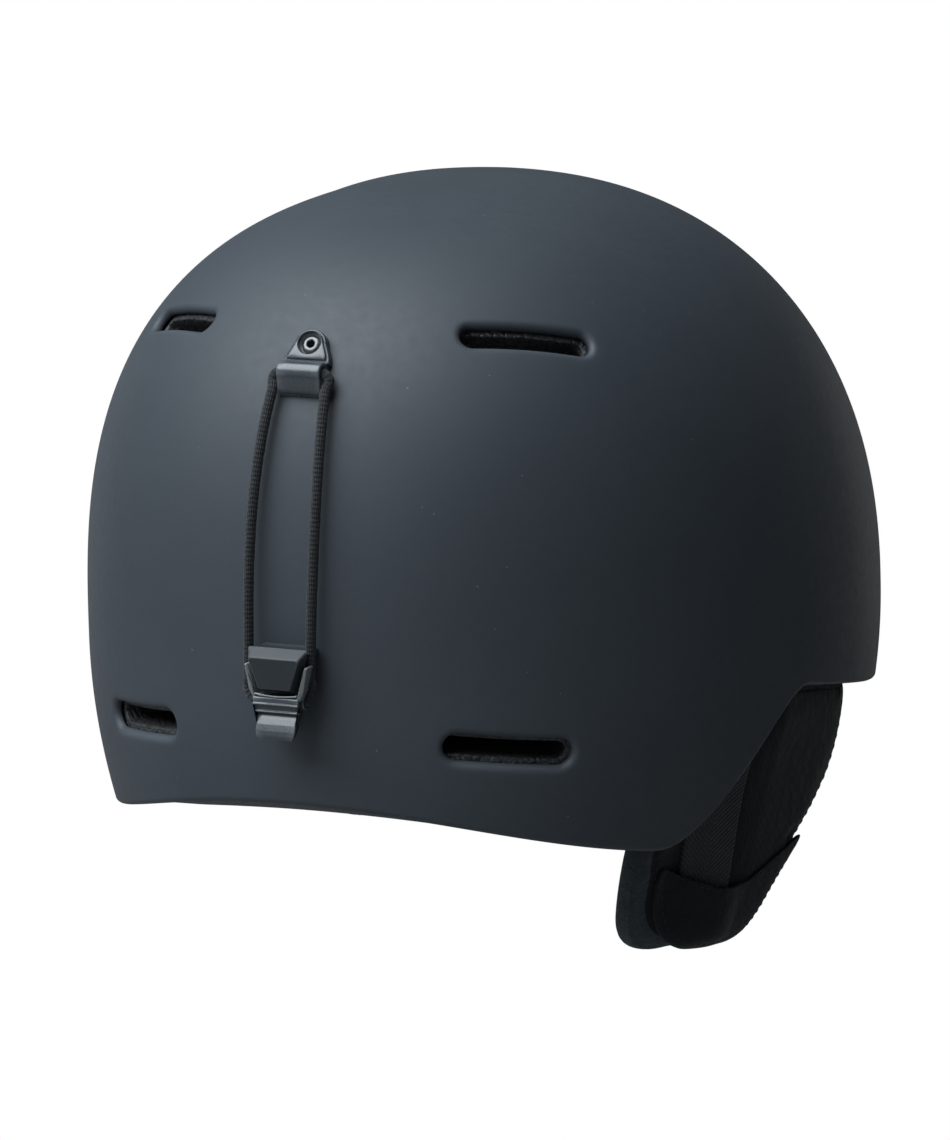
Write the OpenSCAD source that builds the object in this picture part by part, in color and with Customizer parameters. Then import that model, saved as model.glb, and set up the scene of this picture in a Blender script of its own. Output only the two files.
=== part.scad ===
// Hard-shell helmet with a foam liner, soft ear pads, chin strap and a rear goggle retainer.
// Millimetres. Front of the helmet is -Y, up is +Z, the wearer's right is -X.
// Z = 0 is the level of the shell's lowest edge, behind the ears; X = Y = 0 is the middle of the head opening.

/* [Shell] */
// Outside width of the hard shell
shell_w = 222; // [214:1:230]
// Length behind the middle, at the widest level
rear_len = 139; // [134:0.5:144]
// Length in front of the middle, at the widest level
front_len = 135; // [130:0.5:140]
// Height of the crown above the widest level
crown_h = 126.8; // [122:0.2:131]
// Wall thickness of the hard shell
shell_t = 2.6; // [2:0.1:3.2]
// How far the shell's axis leans back in the worn position, degrees
lean = 12.2; // [10:0.1:14]
// How far the edge steps up from behind the ear to the temple
temple_rise = 47; // [44:0.5:48]
// How much further the edge rises to the middle of the brow
brow_rise = 8; // [5:0.5:10]
// How far the edge rises again at the nape
nape_rise = 8; // [4:0.5:11]

/* [Liner] */
// Thickness of the foam liner
foam_t = 20.8; // [18:0.1:23]
// How far the liner stops short of the shell's edge
foam_recess = 1.5; // [1:0.1:3]
// Thickness of the comfort pads
comfort_t = 7; // [5:0.5:8]

/* [Vents] */
// Height of the upper slots
vent_up_h = 6.4; // [5:0.1:8]
// Height of the lower slots
vent_low_h = 7.6; // [6:0.1:9]

/* [Ear pads] */
// Thickness of an ear pad
pad_t = 16; // [13:0.5:16.5]
// How far the left ear pad is folded up into the helmet, degrees
fold_left = 44; // [40:1:46]

/* [Chin strap] */
// Width of the webbing
web_w = 20; // [18:0.5:20.5]
// Thickness of the webbing
web_t = 1.6; // [1.2:0.1:1.7]

/* [Goggle retainer] */
// Diameter of the elastic cord
cord_d = 3.0; // [2.6:0.1:3.1]
// Height of the bracket's middle above the edge
bracket_z = 125; // [122:0.5:128]
// Height of the catch's middle above the edge
catch_z = 47; // [45:0.5:49]

/* [Output] */
// Piece to draw, or all

/* [Hidden] */
half_w = shell_w / 2;
level_z = 63;            // height of the widest level over the edge
n_front = 1.9;           // how square the plan is in front
n_rear = 2.04;           // and behind
p_side = 2.32; p_rear = 3.09; p_front = 1.98;   // how square the upright sections are
tuck_side = 0.181; tuck_rear = 0.109; tuck_front = 0.068; // how much the shell draws in under the widest level
crown_shift = 5;         // the crown sits a little behind the middle
gap = 0.6;
foam_out = shell_t + gap;
foam_in = foam_out + foam_t;
pad_gap = 1.6;
hinge_x = 90; hinge_z = 40;     // axis an ear pad flexes about
strap_x = 61; swivel_y = 8; swivel_z = 0; // where a chin strap half is riveted to its ear pad
eps = 0.01;

// ---- the shell's form -------------------------------------------------------

function sq(a) = a * a;
function smooth(t) = let(q = min(1, max(0, t))) q * q * (3 - 2 * q);

// radius of the plan outline at bearing th (0 = rear, 90 = wearer's right), d under the surface
function plan_r(th, d) =
    let(n = cos(th) > 0 ? n_rear : n_front, b = (cos(th) > 0 ? rear_len : front_len) - d)
    pow(pow(abs(sin(th)) / (half_w - d), n) + pow(abs(cos(th)) / b, n), -1 / n);

// a point of the surface: u = 1 crown, 0 widest level, below 0 under it; d = depth under the outside
function surf(th, u, d) =
    let(c = cos(th), s = sin(th), h = crown_h - d,
        wr = sq(max(c, 0)), wf = sq(max(-c, 0)), ws = s * s,
        p = p_side * ws + p_rear * wr + p_front * wf,
        k = tuck_side * ws + tuck_rear * wr + tuck_front * wf,
        z = u >= 0 ? h * sin(90 * u) : 80 * u,
        f = u >= 1 ? 0 : u >= 0 ? pow(max(0, 1 - pow(sin(90 * u), p)), 1 / p) : 1 - k * u * u,
        r = plan_r(th, d) * f,
        x = -r * s, y = r * c + (u > 0 ? crown_shift * sq(z / h) : 0))
    [x, y * cos(lean) + z * sin(lean), -y * sin(lean) + z * cos(lean) + level_z];

// height of the shell's edge at y, the same on both sides
function edge_z(y) =
    (y > 72 ? nape_rise * sq((y - 72) / 56) : 0)
    + temple_rise * smooth((70 - y) / 44)
    + (y < -20 ? brow_rise * sq((-y - 20) / 110) : 0);

// level at which the column at bearing th meets the edge, up by off
function edge_u(th, d, off, lo = -1, hi = 0.6, n = 22) =
    n == 0 ? (lo + hi) / 2 :
    let(m = (lo + hi) / 2, p = surf(th, m, d))
    p.z > edge_z(p.y) + off ? edge_u(th, d, off, lo, m, n - 1) : edge_u(th, d, off, m, hi, n - 1);

// rear centre line: level, point and tilt at height z
function rear_u(z, lo = -0.8, hi = 0.95, n = 24) =
    n == 0 ? (lo + hi) / 2 :
    let(m = (lo + hi) / 2) surf(0, m, 0).z > z ? rear_u(z, lo, m, n - 1) : rear_u(z, m, hi, n - 1);
function rear_y(z) = surf(0, rear_u(z), 0).y;
function rear_tilt(z) = atan2(rear_y(z - 2) - rear_y(z + 2), 4);
// a point given in the local frame of the rear centre line at height z (y outward, z along the surface)
function rear_at(z, p) =
    let(a = rear_tilt(z))
    [p.x, rear_y(z) + p.y * cos(a) - p.z * sin(a), z + p.y * sin(a) + p.z * cos(a)];
module on_rear(z) translate([0, rear_y(z), z]) rotate([rear_tilt(z), 0, 0]) children();

// ---- solids from rings of points -------------------------------------------

// closed solid from rings of the same length, closed with a fan to a point at each end
module rings_solid(rings, a, b) {
    n = len(rings[0]); m = len(rings);
    pts = concat([a], [for (r = rings, p = r) p], [b]);
    faces = concat(
        [for (i = [0 : n - 1]) [0, 1 + i, 1 + (i + 1) % n]],
        [for (k = [0 : m - 2], i = [0 : n - 1])
            let(p = 1 + k * n + i, q = 1 + k * n + (i + 1) % n) [p, p + n, q]],
        [for (k = [0 : m - 2], i = [0 : n - 1])
            let(p = 1 + k * n + i, q = 1 + k * n + (i + 1) % n) [q, p + n, q + n]],
        [for (i = [0 : n - 1]) [m * n + 1, 1 + (m - 1) * n + (i + 1) % n, 1 + (m - 1) * n + i]]);
    polyhedron(points = pts, faces = faces, convexity = 8);
}

// bowl between two depths, down to the edge plus off
module bowl(d0, d1, off, cols, rows) {
    ths = [for (i = [0 : cols - 1]) i * 360 / cols];
    e0 = [for (t = ths) edge_u(t, d0, off)];
    e1 = [for (t = ths) edge_u(t, d1, off)];
    outer = [for (j = [1 : rows]) [for (i = [0 : cols - 1]) surf(ths[i], 1 + (e0[i] - 1) * j / rows, d0)]];
    inner = [for (j = [rows : -1 : 1]) [for (i = [0 : cols - 1]) surf(ths[i], 1 + (e1[i] - 1) * j / rows, d1)]];
    rings_solid(concat(outer, inner), surf(0, 1, d0), surf(0, 1, d1));
}

// one round of corner cutting on a closed outline
function cut_corners(p) =
    let(n = len(p)) [for (i = [0 : n - 1]) for (t = [0.25, 0.75]) p[i] * (1 - t) + p[(i + 1) % n] * t];
function mid_of(p, i = 0, s = [0, 0]) = i == len(p) ? s / len(p) : mid_of(p, i + 1, s + p[i]);

// soft profile of a pad: how far out from the middle, and how far through
function soft_profile() = [[0.3, -1], [0.6, -1], [0.82, -0.97], [0.93, -0.78], [0.985, -0.42], [1, 0],
                           [0.985, 0.42], [0.93, 0.78], [0.82, 0.97], [0.6, 1], [0.3, 1]];

// ---- shell and liner --------------------------------------------------------

// where the slots are: x, y, z on the surface, heading of the outward direction from +Y, its pitch, length, height
VENTS = [[51.1, 113, 138.2, 39.8, 33, 39, vent_up_h], [54.3, 115.5, 26.7, 36, -14, 38, vent_low_h],
         [58.1, -70, 151.4, 142, 42, 36, vent_up_h], [82.7, -84, 99.9, 136, 8, 34, vent_up_h]];

module slot_bar(len_, h, grow, from, to) {
    rotate([90, 0, 0]) translate([0, 0, -to]) linear_extrude(to - from) {
        for (s = [-1, 1]) translate([s * (len_ - h) / 2, 0]) circle(r = h / 2 + grow, $fn = 16);
        square([len_ - h, h + 2 * grow], center = true);
    }
}
module slots(grow, from, to)
    for (v = VENTS, s = [-1, 1])
        translate([s * v[0], v[1], v[2]]) rotate([0, 0, -s * v[3]]) rotate([v[4], 0, 0])
            slot_bar(v[5], v[6], grow, from, to);

module outer_shell() color([0.25, 0.28, 0.31]) resize([0, 0, 0]) difference() {
    bowl(0, shell_t, 0, 68, 19);
    slots(0, -14, 14);
    on_rear(bracket_z) translate([0, -8, 8]) rotate([-90, 0, 0]) cylinder(r = 1.85, h = 20, $fn = 16);
    on_rear(catch_z) translate([0, -8, -1.5]) rotate([-90, 0, 0]) cylinder(r = 1.85, h = 20, $fn = 16);
}

module eps_liner() color([0.08, 0.09, 0.1]) resize([0, 0, 0]) difference() {
    bowl(foam_out, foam_in, foam_recess, 54, 15);
    slots(-0.35, -60, 14);
    on_rear(bracket_z) translate([0, -14, 8]) rotate([-90, 0, 0]) cylinder(r = 7, h = 16, $fn = 20);
    on_rear(catch_z) translate([0, -14, -1.5]) rotate([-90, 0, 0]) cylinder(r = 4.2, h = 16, $fn = 20);
    for (s = [-1, 1]) {
        translate([s * 97, 22, 55]) cube([6, 26, 26], center = true);
        translate([s * 97 - 15, 22, 61]) rotate([0, 90, 0]) cylinder(r = 2.6, h = 30, $fn = 20);
    }
}

// pad following the inside of the liner, centred at bearing th and level u
module lining_pad(th, u, dth, du, t) {
    d = foam_in + pad_gap + t / 2;
    out = [for (i = [0 : 27]) let(a = i * 360 / 28)
        [dth * pow(abs(cos(a)), 0.6) * sign(cos(a)), du * pow(abs(sin(a)), 0.7) * sign(sin(a))]];
    prof = soft_profile();
    rings_solid([for (q = prof) [for (p = out) surf(th + p.x * q[0], u + p.y * q[0], d - q[1] * t / 2)]],
        surf(th, u, d + t / 2), surf(th, u, d - t / 2));
}
// the pad in the crown has four lobes
module crown_pad() color([0.14, 0.15, 0.17]) {
    t = comfort_t; d = foam_in + pad_gap + t / 2;
    prof = soft_profile();
    reach = [for (i = [0 : 47]) let(a = i * 7.5) 0.27 + 0.06 * cos(4 * a)];
    rings_solid([for (q = prof) [for (i = [0 : 47]) surf(i * 7.5, 1 - reach[i] * q[0], d - q[1] * t / 2)]],
        surf(0, 1, d + t / 2), surf(0, 1, d - t / 2));
}
module brow_pad() color([0.14, 0.15, 0.17]) lining_pad(180, -0.24, 46, 0.125, comfort_t);
module nape_pad() color([0.14, 0.15, 0.17]) lining_pad(0, -0.04, 40, 0.13, comfort_t);
module side_pad_right() color([0.14, 0.15, 0.17]) lining_pad(92, 0.1, 24, 0.13, comfort_t);
module side_pad_left() color([0.14, 0.15, 0.17]) lining_pad(268, 0.1, 24, 0.13, comfort_t);

// hook-and-loop dots that hold the comfort pads
function dir_out(th, u, d) = let(a = surf(th + 1, u, d) - surf(th - 1, u, d), b = surf(th, u + 0.01, d) - surf(th, u - 0.01, d),
                                 n = cross(a, b)) n / norm(n);
module dot_at(th, u) {
    p = surf(th, u, foam_in + 1.05); n = dir_out(th, u, foam_in + 1.05);
    translate(p) rotate([0, acos(n.z), atan2(n.y, n.x)]) translate([0, 0, -0.35]) cylinder(r = 7, h = 0.7, $fn = 32);
}
module pad_dots() color([0.1, 0.1, 0.11]) {
    for (t = [150, 210]) dot_at(t, -0.24);
    for (t = [-22, 22]) dot_at(t, -0.04);
    for (t = [82, 102, 258, 278]) dot_at(t, 0.1);
    for (t = [0, 90, 180, 270]) dot_at(t, 0.83);
}

// moulded anchors in the liner that the side straps hang from
module strap_anchors() color([0.1, 0.1, 0.1]) for (s = [-1, 1])
    translate([s * 97, 22, 0]) difference() {
        translate([-1.8, -11.5, 49.6]) cube([3.6, 23, 16.4]);
        translate([-4, -10.4, 51.6]) cube([8, 20.8, 3]);
        translate([-4, 0, 61]) rotate([0, 90, 0]) cylinder(r = 2.1, h = 8, $fn = 32);
    }
module anchor_bolts() color([0.5, 0.5, 0.52]) for (s = [-1, 1])
    translate([s * 97, 22, 61]) rotate([0, -90 * s, 0]) {
        translate([0, 0, -6]) cylinder(r = 2.0, h = 16, $fn = 32);
        translate([0, 0, 10]) cylinder(r = 2.4, h = 1.5, $fn = 32);
    }

// ---- ear pads ---------------------------------------------------------------

// side view outline of an ear pad, y and z
PAD_LINE = cut_corners(cut_corners([[-47, 45.5], [-42, 45.5], [-10, 45.5], [15, 45.5], [27, 37], [40, 18], [50, 2], [45, -10], [37, -22],
                       [28, -30], [16, -33.5], [-2, -33], [-10, -26], [-18, -13], [-30, 1], [-41, 14], [-47, 30]]));
// distance of the pad's middle from the helmet's middle plane
function pad_x(y, z) = 71 + 18 * (z + 33) / 79 - 10 * smooth(y / 40)
    + (y < 5 ? 0.14 * (5 - y) * (1 - sq((z + 33) / 79)) : 0);
function pad_h(y, z) = (pad_t / 2 - 2 * (z + 33) / 79) * (1 - 0.3 * smooth((y - 8) / 34));

// solid that follows the pad's middle surface: outline, half thickness and offset from the middle
module ear_layer(line, half, off) {
    m = mid_of(line); prof = soft_profile();
    h = function(p) half < 0 ? pad_h(p.x, p.y) : half;
    o = function(p) half < 0 ? 0 : pad_h(p.x, p.y) + off;
    function at(p, k) = [-(pad_x(p.x, p.y) + o(p) - k * h(p)), p.x, p.y];
    rings_solid([for (q = prof) [for (p = line) at(m + (p - m) * q[0], q[1])]], at(m, -1), at(m, 1));
}

// flat strip on the pad's outside, lift clear of it, through the middle points (y, z)
module strip(path, w, t, lift) {
    n = len(path);
    f = function(p) pad_x(p.x, p.y) + pad_h(p.x, p.y);
    at = function(p, u) [-f(p), p.x, p.y] + u * (lift + t / 2);
    nor = function(p) let(v = [-1, f(p - [0.5, 0]) - f(p + [0.5, 0]), f(p - [0, 0.5]) - f(p + [0, 0.5])]) v / norm(v);
    sec = function(i) let(u = nor(path[i]), a = path[max(0, i - 1)], b = path[min(n - 1, i + 1)],
        d = at(b, nor(b)) - at(a, nor(a)), k = cross(u, d), wd = k / norm(k))
        [for (c = [[-1, -1], [1, -1], [1, 1], [-1, 1]]) at(path[i], u) + wd * c[0] * w / 2 + u * c[1] * t / 2];
    rings_solid([for (i = [0 : n - 1]) sec(i)], at(path[0], nor(path[0])), at(path[n - 1], nor(path[n - 1])));
}

module right_ear_pad() ear_layer(PAD_LINE, -1, 0);
BAND_LINE = cut_corners(cut_corners([[45, -4], [34, -9], [22, -12.5], [8, -12.5], [-4, -10], [-14, -5], [-27, 4],
                        [-29, 1], [-18, -13], [-10, -25], [-2, -32], [16, -33], [28, -29.5], [37, -21], [44, -10]]));
module right_ear_band() ear_layer(BAND_LINE, 0.9, web_t + 2.9);
module right_side_strap() strip([for (i = [0 : 14]) let(z = 33 - 4 * i) [24 - 4 * smooth((20 - z) / 44), z]],
    web_w, web_t, 0.9);

module left_side() translate([hinge_x, 0, hinge_z]) rotate([0, fold_left, 0]) translate([-hinge_x, 0, -hinge_z])
    mirror([1, 0, 0]) children();

module ear_pad_right() color([0.07, 0.07, 0.08]) right_ear_pad();
module ear_pad_left() color([0.07, 0.07, 0.08]) left_side() right_ear_pad();
module ear_band_right() color([0.09, 0.09, 0.1]) right_ear_band();
module ear_band_left() color([0.09, 0.09, 0.1]) left_side() right_ear_band();
module side_strap_right() color([0.16, 0.155, 0.165]) right_side_strap();
module side_strap_left() color([0.16, 0.155, 0.165]) left_side() right_side_strap();

// ---- chin strap: drawn for the wearer's right, lying forward behind the ear pad ---

module along_strap() translate([-strap_x, swivel_y, swivel_z]) children();
// turned so that a profile drawn in X (back to front) and Y (up) is extruded through the strap's thickness
module strap_flat(t) rotate([90, 0, -90]) translate([0, 0, -t / 2]) linear_extrude(t) children();

module swivel_rivet() along_strap() rotate([0, -90, 0]) {
    translate([0, 0, 5.6]) cylinder(r = 5.2, h = 1.2, $fn = 48);
    translate([0, 0, -2.2]) cylinder(r = 2.0, h = 7.9, $fn = 32);
    translate([0, 0, -2.9]) cylinder(r = 4.6, h = 1.3, $fn = 32);
    translate([0, 0, 1.6]) cylinder(r = 4.6, h = 4.1, $fn = 32);
}
module web_half(len_) along_strap() strap_flat(web_t) difference() {
    union() {
        circle(r = web_w / 2, $fn = 48);
        translate([0, -web_w / 2]) square([len_, web_w]);
    }
    circle(r = 2.06, $fn = 32);
}
module swivel_rivet_right() color([0.3, 0.3, 0.32]) swivel_rivet();
module swivel_rivet_left() color([0.3, 0.3, 0.32]) left_side() swivel_rivet();
module chin_web_right() color([0.16, 0.155, 0.165]) web_half(37);
module chin_web_left() color([0.16, 0.155, 0.165]) left_side() web_half(84.5);

// one piece around the strap, from x0 to x1 along it, with a slot for the webbing
module strap_box(x0, x1, w, t, r) along_strap() difference() {
    strap_flat(t) union() {
        translate([x0 + r, -w / 2]) square([x1 - x0 - 2 * r, w]);
        translate([x0, -w / 2 + r]) square([x1 - x0, w - 2 * r]);
        for (a = [x0 + r, x1 - r], b = [-1, 1]) translate([a, b * (w / 2 - r)]) circle(r = r, $fn = 32);
    }
    children();
}
module web_slot(x0, x1) translate([-(web_t + 0.5) / 2, -x1, -(web_w + 0.8) / 2]) cube([web_t + 0.5, x1 - x0, web_w + 0.8]);

module buckle_socket() color([0.09, 0.09, 0.1]) strap_box(32, 62, 25, 9, 3) {
    web_slot(31, 37.5);
    translate([-2.6, -63, -8.6]) cube([5.2, 20, 17.2]);      // mouth for the plug
    for (s = [-1, 1]) translate([-2.2, -56, s * 12.5 - 3]) cube([4.4, 9, 6]); // windows for its arms
}
module buckle_plug() color([0.09, 0.09, 0.1]) left_side() {
    strap_box(82, 92, 25, 7, 3) web_slot(81, 85);
    along_strap() strap_flat(4) {
        translate([91, -1.6]) square([15, 3.2]);
        for (s = [-1, 1]) polygon([[91.5, s * 7.6], [91.5, s * 4.6], [106, s * 4.2], [111, s * 5.5], [105, s * 8.4], [102, s * 8.4], [102.5, s * 6.8]]);
    }
}
module chin_pad() color([0.13, 0.14, 0.15]) left_side() strap_box(30, 60, 27, 8, 6) web_slot(26, 64);
module web_slider() color([0.09, 0.09, 0.1]) left_side() strap_box(70, 79, 25, 4, 1.5) web_slot(68, 81);
module web_keeper() color([0.1, 0.1, 0.1]) left_side() strap_box(11.5, 17.5, 24, 3.6, 1.2) web_slot(9, 20);

// ---- goggle retainer --------------------------------------------------------

barrel_y = 3.1; barrel_z = -1;
module goggle_bracket() color([0.2, 0.22, 0.24]) on_rear(bracket_z) difference() {
    union() {
        // plate, round at the top
        rotate([90, 0, 0]) translate([0, 0, -2.7]) linear_extrude(2.6) {
            translate([0, 7.6]) circle(r = 5, $fn = 48);
            polygon([[-7, 2.8], [7, 2.8], [4.6, 9.6], [-4.6, 9.6]]);
        }
        translate([-6.4, 0.1, -9]) cube([12.8, 4.3, 8]);
        translate([-6.4, 0.1, -1.5]) cube([12.8, 2.6, 4.4]);
        translate([-6.4, barrel_y, barrel_z]) rotate([0, 90, 0]) cylinder(r = 2.95, h = 12.8, $fn = 48);
    }
    translate([-10, barrel_y, barrel_z]) rotate([0, 90, 0]) cylinder(r = cord_d / 2 + 0.15, h = 20, $fn = 32);
    translate([0, 0.9, 8]) rotate([-90, 0, 0]) cylinder(r = 3.3, h = 4, $fn = 48);
    translate([0, -1, 8]) rotate([-90, 0, 0]) cylinder(r = 1.7, h = 6, $fn = 32);
}
module goggle_bracket_screw() color([0.62, 0.62, 0.64]) on_rear(bracket_z) translate([0, 0, 8]) rotate([-90, 0, 0]) difference() {
    union() {
        translate([0, 0, 0.95]) cylinder(r1 = 2.9, r2 = 2.2, h = 1.5, $fn = 48);
        translate([0, 0, -9.5]) cylinder(r = 1.6, h = 10.6, $fn = 32);
    }
    translate([0, 0, 1.4]) cylinder(r = 1.05, h = 2, $fn = 6);
}
module goggle_bracket_nut() color([0.62, 0.62, 0.64]) on_rear(bracket_z) translate([0, 0, 8]) rotate([-90, 0, 0]) difference() {
    union() {
        translate([0, 0, -6.2]) cylinder(r = 6, h = 1.2, $fn = 48);
        translate([0, 0, -11.1]) cylinder(r = 2.8, h = 5, $fn = 32);
    }
    translate([0, 0, -12]) cylinder(r = 1.65, h = 8, $fn = 32);
}
// wedge that the tab hooks under
module goggle_catch() color([0.27, 0.29, 0.31]) on_rear(catch_z) difference() {
    union() {
        // foot
        translate([0, 7.5, 0]) rotate([90, 0, 0]) linear_extrude(7.4)
            polygon([[-8.4, 5], [8.4, 5], [5.2, -6.2], [-5.2, -6.2]]);
        // bevelled head
        polyhedron(points = [[-9.2, 7.4, 5.6], [9.2, 7.4, 5.6], [5.7, 7.4, -6.4], [-5.7, 7.4, -6.4],
                             [-6.9, 11, 4.1], [6.9, 11, 4.1], [4.5, 11, -5], [-4.5, 11, -5]],
            faces = [[0, 1, 2, 3], [7, 6, 5, 4], [4, 5, 1, 0], [5, 6, 2, 1], [6, 7, 3, 2], [7, 4, 0, 3]]);
    }
    translate([0, -1, -1.5]) rotate([-90, 0, 0]) cylinder(r = 1.55, h = 7.8, $fn = 32);
}
module goggle_catch_screw() color([0.62, 0.62, 0.64]) on_rear(catch_z) translate([0, 0, -1.5]) rotate([-90, 0, 0]) difference() {
    union() {
        translate([0, 0, -5.6]) cylinder(r = 3.2, h = 2, $fn = 48);
        translate([0, 0, -3.7]) cylinder(r = 1.5, h = 10.2, $fn = 32);
    }
    translate([0, 0, -6]) cylinder(r = 1.2, h = 1.4, $fn = 6);
}
// elastic cord, a loop through the bracket's barrel and the tab
tab_bore_z = -9.2; tab_bore_y = 5.6;
function cord_mid() =
    let(top = rear_at(bracket_z, [0, barrel_y, barrel_z]), low = rear_at(catch_z, [0, tab_bore_y, tab_bore_z]))
    concat(
        [for (x = [0 : 2 : 6]) [x, top.y, top.z]],
        [for (a = [30, 60, 90]) [6 + 2.4 * sin(a), top.y, top.z - 2.4 * (1 - cos(a))]],
        [for (i = [1 : 11]) let(q = i / 12, z = top.z - 2.4 + (low.z + 3.6 - top.z + 2.4) * q,
              x = 8.4 + 2.9 * sin(q * 110) - 0.5 * q, lift = 3 + 2.6 * sq(q))
            [x, max(rear_y(z) + lift - x * x / 260, top.y * (1 - q) + low.y * q - 0.3), z]],
        [for (a = [90, 60, 30]) [7 + 3.6 * sin(a), low.y, low.z + 3.6 * (1 - 1 * sin(90 - a))]],
        [for (x = [6 : -2 : 0]) [x, low.y, low.z]]);
module goggle_cord() color([0.13, 0.13, 0.14]) {
    half = cord_mid(); n = len(half);
    path = concat(half, [for (i = [n - 2 : -1 : 1]) [-half[i].x, half[i].y, half[i].z]]);
    m = len(path);
    ring = function(i) let(d0 = path[(i + 1) % m] - path[(i + m - 1) % m], d = d0 / norm(d0),
        s0 = cross(d, [0, 1, 0]), s = s0 / norm(s0), t = cross(s, d))
        [for (k = [0 : 9]) path[i] + (s * cos(k * 36) + t * sin(k * 36)) * cord_d / 2];
    pts = [for (i = [0 : m - 1], p = ring(i)) p];
    polyhedron(points = pts, faces = concat(
        [for (i = [0 : m - 1], k = [0 : 9]) [i * 10 + k, ((i + 1) % m) * 10 + k, i * 10 + (k + 1) % 10]],
        [for (i = [0 : m - 1], k = [0 : 9]) [i * 10 + (k + 1) % 10, ((i + 1) % m) * 10 + k, ((i + 1) % m) * 10 + (k + 1) % 10]]),
        convexity = 8);
}
module goggle_tab() color([0.3, 0.32, 0.34]) on_rear(catch_z) difference() {
    union() {
        // grip, and the cheeks either side of the wedge
        translate([0, 11.3, 0]) rotate([90, 0, 0]) linear_extrude(7.8)
            polygon([[-6.8, -7.4], [-6.5, -13], [-5.5, -18], [-4.4, -19.2], [4.4, -19.2], [5.5, -18], [6.5, -13], [6.8, -7.4]]);
        for (s = [-1, 1]) translate([0, 9.6, 0]) rotate([90, 0, 0]) linear_extrude(6)
            polygon([[s * 9.3, 1.2], [s * 8.5, 1.2], [s * 6.1, -7.1], [s * 6.1, -7.6], [s * 6.8, -7.6], [s * 8.2, -5.4]]);
        for (z = [-10.6, -13.2]) translate([-6.1, 11.2, z]) rotate([0, 90, 0]) cylinder(r = 0.5, h = 12.2, $fn = 24);
    }
    translate([-12, tab_bore_y, tab_bore_z]) rotate([0, 90, 0]) cylinder(r = cord_d / 2 + 0.2, h = 24, $fn = 32);
    // hollow behind the finger end
    translate([0, 3, -17.4]) rotate([0, 90, 0]) cylinder(r = 4.6, h = 30, center = true, $fn = 48);
}

outer_shell();
eps_liner();
crown_pad();
brow_pad();
nape_pad();
side_pad_left();
side_pad_right();
pad_dots();
strap_anchors();
anchor_bolts();
ear_pad_left();
ear_pad_right();
ear_band_left();
ear_band_right();
side_strap_left();
side_strap_right();
swivel_rivet_left();
swivel_rivet_right();
chin_web_left();
chin_web_right();
chin_pad();
buckle_plug();
buckle_socket();
web_slider();
web_keeper();
goggle_bracket();
goggle_bracket_screw();
goggle_bracket_nut();
goggle_catch();
goggle_catch_screw();
goggle_cord();
goggle_tab();
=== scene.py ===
"""A snow helmet with ear pads, a chin strap and a goggle retainer at the rear.

Axes: +Z up, the wearer faces -Y, the wearer's right is -X.
Shapes are worked out in millimetres and scaled to metres when a mesh is made.
"""
import math

import bmesh
import bpy
import numpy as np
from mathutils.bvhtree import BVHTree
from mathutils import Matrix, Vector
from mathutils.kdtree import KDTree


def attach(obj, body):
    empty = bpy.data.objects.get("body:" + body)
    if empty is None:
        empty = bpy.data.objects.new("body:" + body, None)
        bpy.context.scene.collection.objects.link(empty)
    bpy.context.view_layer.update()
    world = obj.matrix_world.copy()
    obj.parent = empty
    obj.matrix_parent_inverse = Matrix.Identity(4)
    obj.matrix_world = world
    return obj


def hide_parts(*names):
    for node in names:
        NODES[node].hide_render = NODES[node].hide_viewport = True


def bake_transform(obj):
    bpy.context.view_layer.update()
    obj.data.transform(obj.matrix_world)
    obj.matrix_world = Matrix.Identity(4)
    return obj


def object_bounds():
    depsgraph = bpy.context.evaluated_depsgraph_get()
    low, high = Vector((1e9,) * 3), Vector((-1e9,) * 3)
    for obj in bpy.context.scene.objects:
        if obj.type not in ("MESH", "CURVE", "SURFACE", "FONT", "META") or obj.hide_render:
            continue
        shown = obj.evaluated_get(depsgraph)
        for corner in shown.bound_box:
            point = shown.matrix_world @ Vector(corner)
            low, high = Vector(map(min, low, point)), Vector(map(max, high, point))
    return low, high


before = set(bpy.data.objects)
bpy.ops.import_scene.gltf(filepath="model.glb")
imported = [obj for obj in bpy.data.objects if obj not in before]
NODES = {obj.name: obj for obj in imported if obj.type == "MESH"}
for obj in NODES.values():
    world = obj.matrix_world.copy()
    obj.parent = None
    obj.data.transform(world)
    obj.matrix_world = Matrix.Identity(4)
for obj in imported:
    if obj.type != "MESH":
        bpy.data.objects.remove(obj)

CAD_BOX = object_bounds()
SCENE = bpy.context.scene
MM = 0.001

# Form of the shell: reach from the centre to each side, the front, the rear and the crown
HALF_WIDTH, FRONT, REAR, CROWN = 111.0, 135.0, 139.0, 126.8
TILT = math.radians(12.2)           # the shell's own axes lean about X
LEVEL = 63.0                        # height of its widest level
DOME_POWERS = (2.32, 3.09, 1.98)    # roundness of the dome at the side, rear, front
TAPERS = (0.181, 0.109, 0.068)      # narrowing below the widest level, likewise
SKIRT = 80.0                        # length of one level below the widest
CROWN_SHIFT = 5.0                   # rearward shift of the crown
SHELL_THICKNESS, FOAM_OUTER, FOAM_INNER = 2.6, 3.2, 24.0    # depths below the shell's surface

# Slots, mirrored to both sides: x, y, z, heading and pitch in degrees, length, height
VENTS = [
    (51.1, 113, 138.2, 39.8, 33, 39, 6.4),
    (54.3, 115.5, 26.7, 36, -14, 38, 7.6),
    (58.1, -70, 151.4, 142, 42, 36, 6.4),
    (82.7, -84, 99.9, 136, 8, 34, 6.4),
]

CUSHION_THICKNESS = 7.0
CUSHION_DEPTH = FOAM_INNER + 1.6 + CUSHION_THICKNESS / 2    # middle of a lining cushion

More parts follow.
